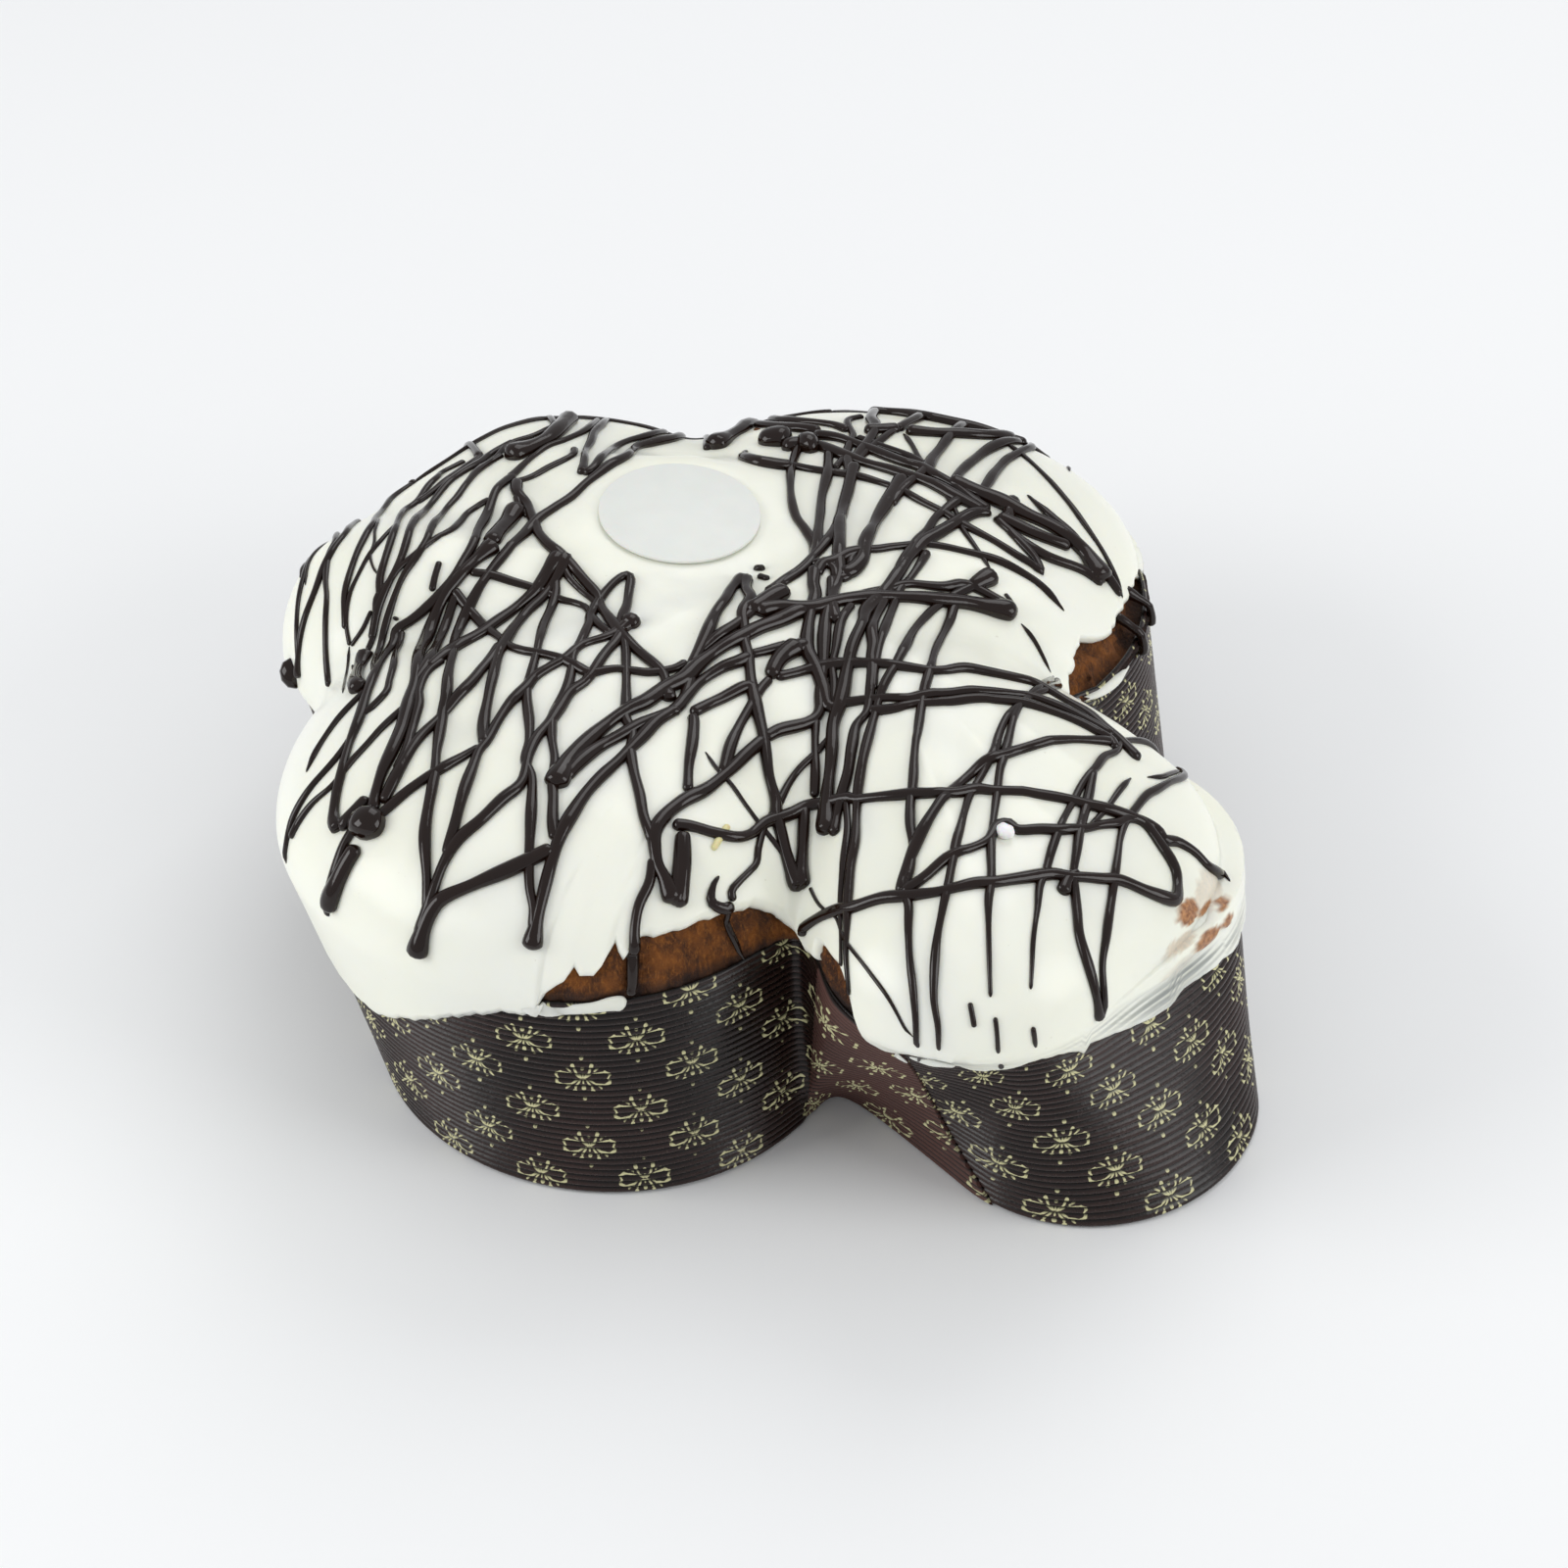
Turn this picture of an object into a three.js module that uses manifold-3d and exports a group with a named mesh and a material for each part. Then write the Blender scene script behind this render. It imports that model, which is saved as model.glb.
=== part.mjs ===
// Colomba: a dove-shaped festive loaf in its brown paper case, under white icing with dark drizzle.
// Millimetres, +Z up. The head points along +X, the tail along -X, the wings along -Y and +Y.
import * as THREE from "three";
import { mergeVertices } from "three/addons/utils/BufferGeometryUtils.js";
import Module from "manifold-3d";

const wasm = await Module();
wasm.setup();

const caseHeight = 72; // paper wall, floor to rim
const paper = 1.0; // thickness of the corrugated paper
const lap = 0.9; // step where the paper strip overlaps itself
const gap = 0.35; // clearance between pieces
const icingOver = 2.0; // how far the icing stands outside the rim
const icingThick = icingOver + paper; // thickness of the icing on the crust
const icingClear = 1.0; // between the paper and the icing that hangs over the rim
const crownReach = 60; // distance from the edge at which the dome is full height
const centre = [15.4, -11.16]; // middle of the outline, which becomes the origin
const hub = [-2, -4]; // point that all rays of the outline start from
const blend = 6; // softness of the notches between lobes
const columns = 86; // rays around the loaf
const discRadius = 22; // round wafer pressed into the icing
const discThick = 0.8;
const discAt = [-43, 9];
const discHeight = 103.6; // of its underside, at its middle
const discTilt = [-0.056, -0.032]; // slope of the disc along X and Y

// Lobes as round cones: root x, y, radius, then tip x, y, radius.
// The foot of the case is one set, and its rim another, because the paper leans as it rises.
const footLobes = [
  [0, -10, 40, 4.7, -75.6, 57.8], // near wing, head side
  [0, -10, 38, -6.7, -77.4, 52.5], // near wing, tail side
  [20, -4, 38, 119.1, -25.5, 38.6], // head
  [20, -4, 36, 120.9, -12.3, 37.2],
  [0, 10, 40, 12, 68, 58.5], // far wing
  [-20, -4, 32, -82, -34, 34], // tail
  [-20, 6, 32, -82, 18, 37],
  [-20, 0, 32, -86, -9, 34],
];
const rimLobes = [
  [0, -10, 44, 0.1, -82.3, 61.6],
  [-10, -10, 36, -24, -87, 56.5],
  [30, 0, 30, 103, -57, 37],
  [20, 0, 36, 104, -6, 38],
  [30, 0, 30, 104, -28, 35],
  [0, 10, 44, 2, 54, 65],
  [-10, 10, 40, -24, 54, 56],
  [-20, -4, 36, -87, -45, 38],
  [-20, 6, 36, -86, 18, 42],
  [-20, 0, 36, -88, -12, 37],
];
// Height of the dome above the rim at the middle of each part: x, y, height.
const crowns = [
  [0, 0, 38],
  [-5, -85, 33],
  [100, -30, 31],
  [6, 66, 23],
  [-50, 85, 25],
  [-78, -5, 33],
  [-124, -36, 42],
  [-118, 32, 27],
  [-92, 66, 16],
];
const crownSpread = 40; // how far each of these reaches
// Places where the dome is lower and starts further in: the head's tip, and the far wing's side.
const slumps = [
  { at: [142, 20], spread: 26, share: 0.6, setback: 7 },
  { at: [74, 88], spread: 26, share: 0.4, setback: 6 },
];

const clamp = (v, lo, hi) => Math.min(hi, Math.max(lo, v));
const mix = (a, b, t) => a + (b - a) * t;
const smooth = (t) => t * t * (3 - 2 * t);
const bell = (d, spread) => Math.exp(-(d * d) / (2 * spread * spread));

// Signed distance to the smooth union of the lobes, negative inside.
function outlineField(lobes, x, y) {
  let sum = 0;
  for (const [ax, ay, ar, bx, by, br] of lobes) {
    const ux = bx - ax,
      uy = by - ay;
    const t = clamp(((x - ax) * ux + (y - ay) * uy) / (ux * ux + uy * uy), 0, 1);
    const d = Math.hypot(x - ax - t * ux, y - ay - t * uy) - mix(ar, br, t);
    sum += Math.exp(-d / blend);
  }
  return -Math.log(sum) * blend;
}

function radiusAt(lobes, angle) {
  let lo = 0,
    hi = 260;
  for (let i = 0; i < 44; i++) {
    const mid = (lo + hi) / 2;
    const x = hub[0] + mid * Math.cos(angle),
      y = hub[1] + mid * Math.sin(angle);
    if (outlineField(lobes, x, y) > 0) hi = mid;
    else lo = mid;
  }
  return (lo + hi) / 2;
}

// Angles of the columns, which stand closer together where the outline bends.
function columnAngles(count) {
  const fine = 1440;
  const pts = Array.from({ length: fine }, (_, i) => {
    const a = (2 * Math.PI * i) / fine,
      r = radiusAt(rimLobes, a);
    return [hub[0] + r * Math.cos(a), hub[1] + r * Math.sin(a)];
  });
  const at = (i) => pts[(i + fine) % fine];
  const heading = (i) => Math.atan2(at(i + 1)[1] - at(i)[1], at(i + 1)[0] - at(i)[0]);
  const cost = [0];
  for (let i = 0; i < fine; i++) {
    const turn = Math.abs(Math.sin((heading(i) - heading(i - 1)) / 2)) * 2;
    const step = Math.hypot(at(i + 1)[0] - at(i)[0], at(i + 1)[1] - at(i)[1]);
    cost.push(cost[i] + step + 9 * turn);
  }
  const angles = [];
  for (let k = 0, i = 0; k < count; k++) {
    const want = (cost[fine] * k) / count;
    while (cost[i + 1] < want) i++;
    angles.push((2 * Math.PI * (i + (want - cost[i]) / (cost[i + 1] - cost[i]))) / fine);
  }
  return angles;
}
const angles = columnAngles(columns);

function ring(lobes) {
  return angles.map((a) => {
    const r = radiusAt(lobes, a);
    return [hub[0] + r * Math.cos(a), hub[1] + r * Math.sin(a)];
  });
}
const foot = ring(footLobes);
const rim = ring(rimLobes);

// Outward normals of a closed ring in plan.
function normals(points) {
  const n = points.length;
  return points.map((_, i) => {
    const a = points[(i + n - 1) % n],
      b = points[(i + 1) % n];
    const len = Math.hypot(b[0] - a[0], b[1] - a[1]);
    return [(b[1] - a[1]) / len, (a[0] - b[0]) / len];
  });
}

function columnNear([x, y]) {
  let best = 0;
  rim.forEach((p, i) => {
    if (Math.hypot(p[0] - x, p[1] - y) < Math.hypot(rim[best][0] - x, rim[best][1] - y)) best = i;
  });
  return best;
}
// The strip's end laps over its start on the head's near flank.
const seamColumn = columnNear([112, -96]);
const lapStep = (i) => (i > seamColumn - 4 && i <= seamColumn ? lap : 0);
const creaseColumn = columnNear([139, 6]); // where the head's wall is dented

// The paper's outside at a height, moved outwards by an offset.
function wallRing(z, offset, overLap = false) {
  const t = clamp(z / caseHeight, 0, 1);
  const pts = foot.map((p, i) => [mix(p[0], rim[i][0], t), mix(p[1], rim[i][1], t)]);
  const nor = normals(pts);
  return pts.map(([x, y], i) => {
    const crease = 2.2 * bell(i - creaseColumn, 1.3) * bell(z - 28, 11);
    const o = offset - crease + (overLap ? lapStep(i) : 0);
    return [x + nor[i][0] * o, y + nor[i][1] * o, z];
  });
}
const slumpAt = (s, x, y) => bell(Math.hypot(x - s.at[0], y - s.at[1]), s.spread);

// Height of the icing's outside above the rim where the dome is full.
function crownAt(x, y) {
  let weight = 0,
    sum = 0;
  for (const [cx, cy, h] of crowns) {
    const w = bell(Math.hypot(x - cx, y - cy), crownSpread);
    weight += w;
    sum += w * h;
  }
  let height = sum / weight;
  for (const s of slumps) height *= 1 - s.share * slumpAt(s, x, y);
  return height;
}

// Icing's outside above a point in plan: a dome that is level with the rim at its edge, flat under the disc.
const discPlane = (x, y) => discHeight + discTilt[0] * (x - discAt[0]) + discTilt[1] * (y - discAt[1]);
function icingHeight(x, y) {
  const setback = slumps.reduce((sum, s) => sum + s.setback * slumpAt(s, x, y), 0);
  const inside = Math.max(0.02, icingOver - outlineField(rimLobes, x, y) - setback);
  const t = clamp(inside / crownReach, 0, 1);
  const swell = 0.8 * Math.sin(x / 23 + 1.3) * Math.sin(y / 27) * Math.min(1, inside / 20);
  const dome = caseHeight + crownAt(x, y) * Math.pow(1 - Math.pow(1 - t, 2.3), 1 / 2.2) + swell;
  const away = Math.hypot(x - discAt[0], y - discAt[1]) - discRadius - 1;
  return mix(discPlane(x, y) - 0.2, dome, smooth(clamp(away / 24, 0, 1)));
}
function icingNormal(x, y) {
  const e = 0.05;
  const gx = (icingHeight(x + e, y) - icingHeight(x - e, y)) / (2 * e);
  const gy = (icingHeight(x, y + e) - icingHeight(x, y - e)) / (2 * e);
  const len = Math.hypot(gx, gy, 1);
  return [-gx / len, -gy / len, 1 / len];
}

// A point of the dome at a share of the way from the hub to the icing's edge, sunk below the icing's skin.
const brim = wallRing(caseHeight, icingOver);
function domePoint(i, t, depth) {
  const x = mix(hub[0], brim[i][0], t),
    y = mix(hub[1], brim[i][1], t);
  const n = icingNormal(x, y);
  return [x - n[0] * depth, y - n[1] * depth, icingHeight(x, y) - n[2] * depth];
}

// A closed surface through rings of points, ending in a point at each end.
// Faces that lie along another piece are split on the same diagonal as that piece.
function skin(first, rings, last, otherDiagonal = () => false) {
  const position = [...first, ...rings.flat(2), ...last];
  const n = rings[0].length;
  const index = [];
  const id = (r, i) => 1 + r * n + (i % n);
  const end = 1 + rings.length * n;
  for (let i = 0; i < n; i++) {
    index.push(0, id(0, i + 1), id(0, i));
    for (let r = 0; r + 1 < rings.length; r++) {
      const [a, b, c, d] = [id(r, i), id(r, i + 1), id(r + 1, i), id(r + 1, i + 1)];
      if (otherDiagonal(r)) index.push(a, b, c, b, d, c);
      else index.push(a, b, d, a, d, c);
    }
    index.push(end, id(rings.length - 1, i), id(rings.length - 1, i + 1));
  }
  const geometry = new THREE.BufferGeometry();
  geometry.setAttribute("position", new THREE.Float32BufferAttribute(position, 3));
  geometry.setIndex(index);
  return geometry;
}

function toSolid(geometry) {
  const bare = geometry.clone();
  for (const name of Object.keys(bare.attributes)) if (name !== "position") bare.deleteAttribute(name);
  const merged = mergeVertices(bare, 1e-4);
  return new wasm.Manifold(
    new wasm.Mesh({
      numProp: 3,
      vertProperties: new Float32Array(merged.attributes.position.array),
      triVerts: new Uint32Array(merged.index.array),
    }),
  );
}

// Fusing can seal small hollows under a stroke: only the outer skin is kept, so they are filled.
function outerSkin(geometry) {
  const index = geometry.index.array;
  const count = index.length / 3;
  const edgeFace = new Map();
  const edgeKey = (t, k) => index[3 * t + k] + "," + index[3 * t + ((k + 1) % 3)];
  for (let t = 0; t < count; t++) for (let k = 0; k < 3; k++) edgeFace.set(edgeKey(t, k), t);
  const skinOf = new Int32Array(count).fill(-1);
  let best = [];
  for (let start = 0; start < count; start++) {
    if (skinOf[start] >= 0) continue;
    const faces = [start];
    skinOf[start] = start;
    for (let i = 0; i < faces.length; i++)
      for (let k = 0; k < 3; k++) {
        const [a, b] = edgeKey(faces[i], k).split(",");
        const next = edgeFace.get(b + "," + a);
        if (next === undefined || skinOf[next] >= 0) continue;
        skinOf[next] = start;
        faces.push(next);
      }
    if (faces.length > best.length) best = faces;
  }
  geometry.setIndex(best.flatMap((t) => [index[3 * t], index[3 * t + 1], index[3 * t + 2]]));
  return geometry;
}
function toGeometry(solid) {
  const mesh = solid.getMesh();
  const geometry = new THREE.BufferGeometry();
  const out = new Float32Array(mesh.numVert * 3);
  for (let i = 0; i < mesh.numVert; i++)
    for (let k = 0; k < 3; k++) out[3 * i + k] = mesh.vertProperties[i * mesh.numProp + k];
  geometry.setAttribute("position", new THREE.BufferAttribute(out, 3));
  geometry.setIndex(new THREE.BufferAttribute(new Uint32Array(mesh.triVerts), 1));
  return geometry;
}

// Paper case: floor, wall and rim in one.
const wallLevels = [0, 14, 28, 42, 57, caseHeight];
function paperCase() {
  const outside = wallLevels.map((z) => wallRing(z, 0, true));
  const insideLevels = [...wallLevels.slice(1).reverse(), paper];
  const inside = insideLevels.map((z) => wallRing(z, -paper));
  return skin([...hub, 0], [...outside, ...inside], [...hub, paper], (r) => r >= outside.length);
}

// Lower edge of the icing around the loaf: in some places it stops on the crust, in others it
// hangs over the rim.
// Each entry is a place on the rim, how far along it the place reaches, and the height of the edge there.
const edges = [
  { at: [34, -131], reach: 14, z: 79 },
  { at: [51, -109], reach: 19, z: 85 },
  { at: [60, -84], reach: 9, z: 81 },
  { at: [70, -79], reach: 6, z: 74 },
  { at: [84, -93], reach: 8, z: 80 },
  { at: [57, 58], reach: 17, z: 82 },
  { at: [48, 90], reach: 12, z: 80 },
  { at: [-55, -128], reach: 26, z: 58 },
  { at: [-20, -143], reach: 16, z: 61 },
  { at: [118, -94], reach: 12, z: 68 },
  { at: [139, -30], reach: 22, z: 66 },
];
const onCrust = caseHeight + 5;
function icingEdge() {
  const z = rim.map(([x, y], i) => {
    let pull = 0,
      weight = 0.35;
    for (const e of edges) {
      const w = bell(Math.hypot(x - e.at[0], y - e.at[1]), e.reach / 1.6) * 3;
      pull += w * e.z;
      weight += w;
    }
    const plain = 69 + 2.5 * Math.sin(i * 0.9) + 1.5 * Math.sin(i * 2.3);
    return (pull + 0.35 * plain) / weight;
  });
  return z.map((v, i) => {
    const near = Math.max(z[(i + 1) % columns], z[(i + columns - 1) % columns]);
    if (v > onCrust) return v;
    return near > onCrust ? caseHeight + 2 : Math.min(v, caseHeight + 0.8);
  });
}
const edgeHeights = icingEdge();

// Share of the ray at which the dome comes down to a height.
function shareAtHeight(i, height) {
  let lo = 0.6,
    hi = 0.9999;
  for (let k = 0; k < 40; k++) {
    const t = (lo + hi) / 2;
    const z = icingHeight(mix(hub[0], brim[i][0], t), mix(hub[1], brim[i][1], t));
    if (z > height) lo = t;
    else hi = t;
  }
  return (lo + hi) / 2;
}
const lowest = caseHeight + 7; // where an icing that hangs over the rim leaves the crust
const lastShare = edgeHeights.map((z, i) => shareAtHeight(i, z > onCrust ? z + 2.5 : lowest));
const innerShares = [0.25, 0.5, 0.7, 0.84, 0.93, 0.98];
const fullShare = innerShares[innerShares.length - 1];
const crustDepth = icingThick + gap + 0.5;
const domeAt = (t, depth) => lastShare.map((last, i) => domePoint(i, t * last, depth));

// Loaf: solid dough that fills the case and rises in a dome, ring for ring under the icing.
function loaf() {
  const sides = wallLevels.slice(0, -1).map((z, k) => wallRing(k ? z : paper + gap, -paper - gap));
  const shoulder = edgeHeights.map((end, i) => {
    const from = end > onCrust ? end + 2.5 : lowest;
    return domePoint(i, shareAtHeight(i, mix(caseHeight, from, 0.5)), crustDepth);
  });
  const rimLevel = wallRing(caseHeight, -paper - gap);
  const dome = innerShares.map((t) => domeAt(t / fullShare, crustDepth)).reverse();
  const top = icingHeight(...hub) - crustDepth;
  return skin([...hub, paper + gap], [...sides, rimLevel, shoulder, ...dome], [...hub, top]);
}

// Icing: from the middle of its underside out to the lower edge, and back over the top.
function icingShell() {
  const outerShares = [1, 0.965, 0.92, 0.85, 0.76, 0.64, 0.5, 0.34, 0.18];
  // Below the dome: down the crust for a short way, or over the rim and down the paper.
  const drop = (step, outwards, depth) =>
    edgeHeights.map((end, i) => {
      if (end > onCrust) return domePoint(i, shareAtHeight(i, end + 2.5 * (1 - step / 3)), depth);
      const z = [0, caseHeight + 3.4, Math.max(caseHeight + 2, end + 0.4), end][step];
      if (step === 1) return domePoint(i, shareAtHeight(i, z), depth);
      return wallRing(z, outwards, true)[i];
    });
  const under = innerShares.map((t) => domeAt(t / fullShare, icingThick));
  const underDrop = [1, 2, 3].map((step) => drop(step, icingClear, icingThick));
  const overDrop = [drop(3, icingOver - 0.4, 0.7), drop(2, icingOver, 0), drop(1, icingOver, 0)];
  const over = outerShares.map((t) => domeAt(t, 0));
  const top = icingHeight(...hub);
  const rings = [...under, ...underDrop, ...overDrop, ...over];
  const onLoaf = (r) => r < under.length + underDrop.length;
  return skin([...hub, top - icingThick], rings, [...hub, top], onLoaf);
}
// Drizzle: strokes of dark chocolate laid over the icing, each a width and the points it passes.
const strokes = [
  [3.2, 11, 63, 15, 42, 23, 13, 34, -13, 50, -40, 61, -59],
  [3.0, 18, 63, 19, 35, 32, 3, 48, -24, 64, -54, 79, -77, 89, -88],
  [2.6, 47, 41, 35, 31, 42, 11, 57, -17, 73, -41, 90, -69],
  [3.2, 70, -77, 90, -72, 107, -59, 121, -35, 134, -16],
  [3.2, 134, -16, 127, -8, 114, -9, 90, -27, 71, -45, 50, -53],
  [4.6, 3, -5, 22, 17, 35, 32, 46, 40],
  [3.2, 26, -17, 49, -3, 66, 17, 91, 24],
  [4.4, 3, -8, 6, -34, 9, -55, 5, -80, 6, -98],
  [3.0, 25, -130, 14, -99, 10, -71, 15, -49, 25, -20],
  [3.0, 25, -130, 0, -103, -17, -69, -30, -45, -38, -24],
  [3.2, -5, -135, -35, -97, -62, -64, -70, -34, -73, 13, -78, 45],
  [3.4, -40, -129, -59, -103, -75, -73, -72, -41, -82, -17],
  [3.4, -89, -7, -59, -25, -24, -40, 7, -56],
  [3.2, -112, -5, -100, -38, -81, -75],
  [4.6, 2, 69, 23, 71, 50, 74],
  [4.6, -51, 55, -33, 59, -13, 63, 22, 64],
  [3.4, -24, 63, -11, 38, 7, 13, 27, -17, 42, -45],
];
const strokeStep = 12; // length of a piece of a stroke
const strokeRise = 0.45; // height of a stroke above the icing, as a share of its width

// A smooth curve through points, cut into pieces of nearly the same length.
function strokePath(numbers) {
  const points = [];
  for (let i = 0; i < numbers.length; i += 2) points.push(new THREE.Vector3(numbers[i], numbers[i + 1], 0));
  const curve = new THREE.CatmullRomCurve3(points, false, "centripetal");
  return curve.getSpacedPoints(Math.max(3, Math.round(curve.getLength() / strokeStep)));
}
function drizzle([width, ...numbers]) {
  const path = strokePath(numbers);
  const rings = path.map((p, k) => {
    const a = path[Math.max(0, k - 1)],
      b = path[Math.min(path.length - 1, k + 1)];
    const along = new THREE.Vector3(b.x - a.x, b.y - a.y, 0).normalize();
    const half = (width / 2) * (k === 0 || k === path.length - 1 ? 0.6 : 1);
    const up = new THREE.Vector3(...icingNormal(p.x, p.y));
    const side = new THREE.Vector3().crossVectors(along, up).normalize();
    const base = new THREE.Vector3(p.x, p.y, icingHeight(p.x, p.y));
    const spot = (s, h) => base.clone().addScaledVector(side, s).addScaledVector(up, h).toArray();
    return [spot(-half * 1.4, -1.8), spot(0, strokeRise * 2 * half), spot(half * 1.4, -1.8)];
  });
  const end = (k) => path[k].clone().setZ(icingHeight(path[k].x, path[k].y)).toArray();
  return skin(end(0), rings, end(path.length - 1));
}

// Round wafer, a flat disc with its rim turned a little over.
function disc() {
  const steps = 40;
  const loop = (radius, rise) =>
    Array.from({ length: steps }, (_, i) => {
      const a = (2 * Math.PI * i) / steps;
      const x = discAt[0] + radius * Math.cos(a),
        y = discAt[1] + radius * Math.sin(a);
      return [x, y, discPlane(x, y) + rise];
    });
  const inset = discRadius - 0.2,
    upper = gap + discThick;
  const rings = [loop(inset, gap), loop(discRadius, gap + 0.25), loop(inset, upper)];
  const middle = (rise) => [...discAt, discHeight + rise];
  return skin(middle(gap), rings, middle(upper));
}

let iced = toSolid(icingShell());
for (const stroke of strokes) iced = iced.add(toSolid(drizzle(stroke)));

const root = new THREE.Group();
function add(name, geometry, color, roughness) {
  geometry.translate(-centre[0], -centre[1], 0);
  const material = new THREE.MeshStandardMaterial({ color, roughness, metalness: 0 });
  const mesh = new THREE.Mesh(geometry, material);
  mesh.name = name;
  root.add(mesh);
}
add("paper_case", paperCase(), 0x33211d, 0.5);
add("loaf", loaf(), 0x9a5f2a, 0.8);
add("icing", outerSkin(toGeometry(iced)), 0xeceee2, 0.3);
add("disc", disc(), 0xf4f6f7, 0.45);
export default root;
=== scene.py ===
# Dressed look of a colomba: iced and drizzled dove cake in its brown corrugated paper case.
import math

import bpy
import numpy as np
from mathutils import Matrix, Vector


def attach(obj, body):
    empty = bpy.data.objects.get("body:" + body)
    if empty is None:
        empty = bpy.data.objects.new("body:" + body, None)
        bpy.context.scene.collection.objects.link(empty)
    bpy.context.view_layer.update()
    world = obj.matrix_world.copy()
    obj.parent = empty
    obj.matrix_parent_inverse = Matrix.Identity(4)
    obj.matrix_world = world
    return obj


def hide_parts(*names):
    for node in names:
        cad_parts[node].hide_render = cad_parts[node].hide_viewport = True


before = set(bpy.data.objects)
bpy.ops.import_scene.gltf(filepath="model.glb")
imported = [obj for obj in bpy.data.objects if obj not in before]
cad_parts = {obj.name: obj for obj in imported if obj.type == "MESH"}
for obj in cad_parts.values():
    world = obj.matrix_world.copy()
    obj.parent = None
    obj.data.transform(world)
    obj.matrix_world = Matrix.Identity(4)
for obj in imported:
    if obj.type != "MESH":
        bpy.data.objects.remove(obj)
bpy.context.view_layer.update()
mm = 0.001

# Shape of the cake in millimetres, drawn in plan around its own zero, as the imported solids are.
dove = {
    "zero": (15.4, -11.16),  # plan point that lies over the frame's origin
    "hub": (-2.0, -4.0),  # rays of the outline start here
    "blend": 6.0,  # softness of the notches
    "caseHeight": 72.0,
    "paper": 1.0,
    "icingOver": 2.0,  # icing stands this far outside the rim
    "icingThick": 3.0,
    "crownReach": 60.0,  # from the rim to where the dome is at its full height
    "crownSpread": 40.0,
    "crownSteep": 2.3,
    "crownRound": 2.2,
    # round cones, seen from above: x, y and radius of one end, then of the other
    "footLobes": [
        (0, -10, 40, 4.7, -75.6, 57.8),
        (0, -10, 38, -6.7, -77.4, 52.5),
        (20, -4, 38, 119.1, -25.5, 38.6),
        (20, -4, 36, 120.9, -12.3, 37.2),
        (0, 10, 40, 12, 68, 58.5),
        (-20, -4, 32, -82, -34, 34),
        (-20, 6, 32, -82, 18, 37),
        (-20, 0, 32, -86, -9, 34),
    ],
    "rimLobes": [
        (0, -10, 44, 0.1, -82.3, 61.6),
        (-10, -10, 36, -24, -87, 56.5),
        (30, 0, 30, 103, -57, 37),
        (20, 0, 36, 104, -6, 38),
        (30, 0, 30, 104, -28, 35),
        (0, 10, 44, 2, 54, 65),
        (-10, 10, 40, -24, 54, 56),
        (-20, -4, 36, -87, -45, 38),
        (-20, 6, 36, -86, 18, 42),
        (-20, 0, 36, -88, -12, 37),
    ],
    # x, y and the icing's height over the rim there
    "crowns": [
        (0, 0, 38),
        (-5, -85, 33),
        (100, -30, 31),
        (6, 66, 23),
        (-50, 85, 25),
        (-78, -5, 33),
        (-124, -36, 42),
        (-118, 32, 27),
        (-92, 66, 16),
    ],
    "slumps": [(142, 20, 26, 0.6, 7), (74, 88, 26, 0.4, 6)],  # x, y, spread, share, setback
}
wafer = {
    "at": (-43.0, 9.0),
    "radius": 22.0,
    "thick": 0.8,
    "height": 103.6,  # of the icing under its middle
    "tilt": (-0.056, -0.032),
    "gap": 0.35,
    "soft": 0.28,  # bevel of its edge
    "bed": 0.2,  # how far the icing sinks under it
    "apron": 24.0,  # mm round it over which the icing is levelled
}


def bell(distance, spread):
    return np.exp(-(distance * distance) / (2 * spread * spread))


def smooth(share):
    share = np.clip(share, 0, 1)
    return share * share * (3 - 2 * share)


def nearAngle(degrees, at):
    return np.abs((degrees - at + 180) % 360 - 180)


def unit(vectors, axis=-1):
    return vectors / np.linalg.norm(vectors, axis=axis, keepdims=True)


# Signed distance to the smooth union of the lobes, negative inside
def outline(lobes, x, y):
    total = np.zeros(np.broadcast(x, y).shape)
    for ax, ay, ar, bx, by, br in lobes:
        ux, uy = bx - ax, by - ay
        along = np.clip(((x - ax) * ux + (y - ay) * uy) / (ux * ux + uy * uy), 0, 1)
        away = np.hypot(x - ax - along * ux, y - ay - along * uy) - (ar + (br - ar) * along)
        total = total + np.exp(-np.clip(away, -240, 400) / dove["blend"])
    return -np.log(total) * dove["blend"]


# Points where rays from the hub meet the outline, or a line outside it
def ringOf(lobes, angles, level=0.0):
    low, high = np.zeros_like(angles), np.full_like(angles, 260.0)
    hubX, hubY = dove["hub"]
    for _ in range(40):
        middle = (low + high) / 2
        outside = outline(lobes, hubX + middle * np.cos(angles), hubY + middle * np.sin(angles)) > level
        high = np.where(outside, middle, high)
        low = np.where(outside, low, middle)
    return np.stack([hubX + low * np.cos(angles), hubY + low * np.sin(angles)], 1)


# Angles whose rays meet the rim at even steps, closer together where it bends
def columnAngles(count):
    fine = np.linspace(0, 2 * math.pi, 1441)[:-1]
    points = ringOf(dove["rimLobes"], fine)
    ahead = np.roll(points, -1, 0) - points
    heading = np.arctan2(ahead[:, 1], ahead[:, 0])
    turn = np.abs(np.sin((heading - np.roll(heading, 1)) / 2)) * 2
    cost = np.concatenate([[0], np.cumsum(np.hypot(ahead[:, 0], ahead[:, 1]) + 9 * turn)])
    return np.interp(cost[-1] * np.arange(count) / count, cost, np.append(fine, 2 * math.pi))


def normalsOf(points):
    step = unit(np.roll(points, -1, 0) - np.roll(points, 1, 0))
    return np.stack([step[:, 1], -step[:, 0]], 1)


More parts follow.
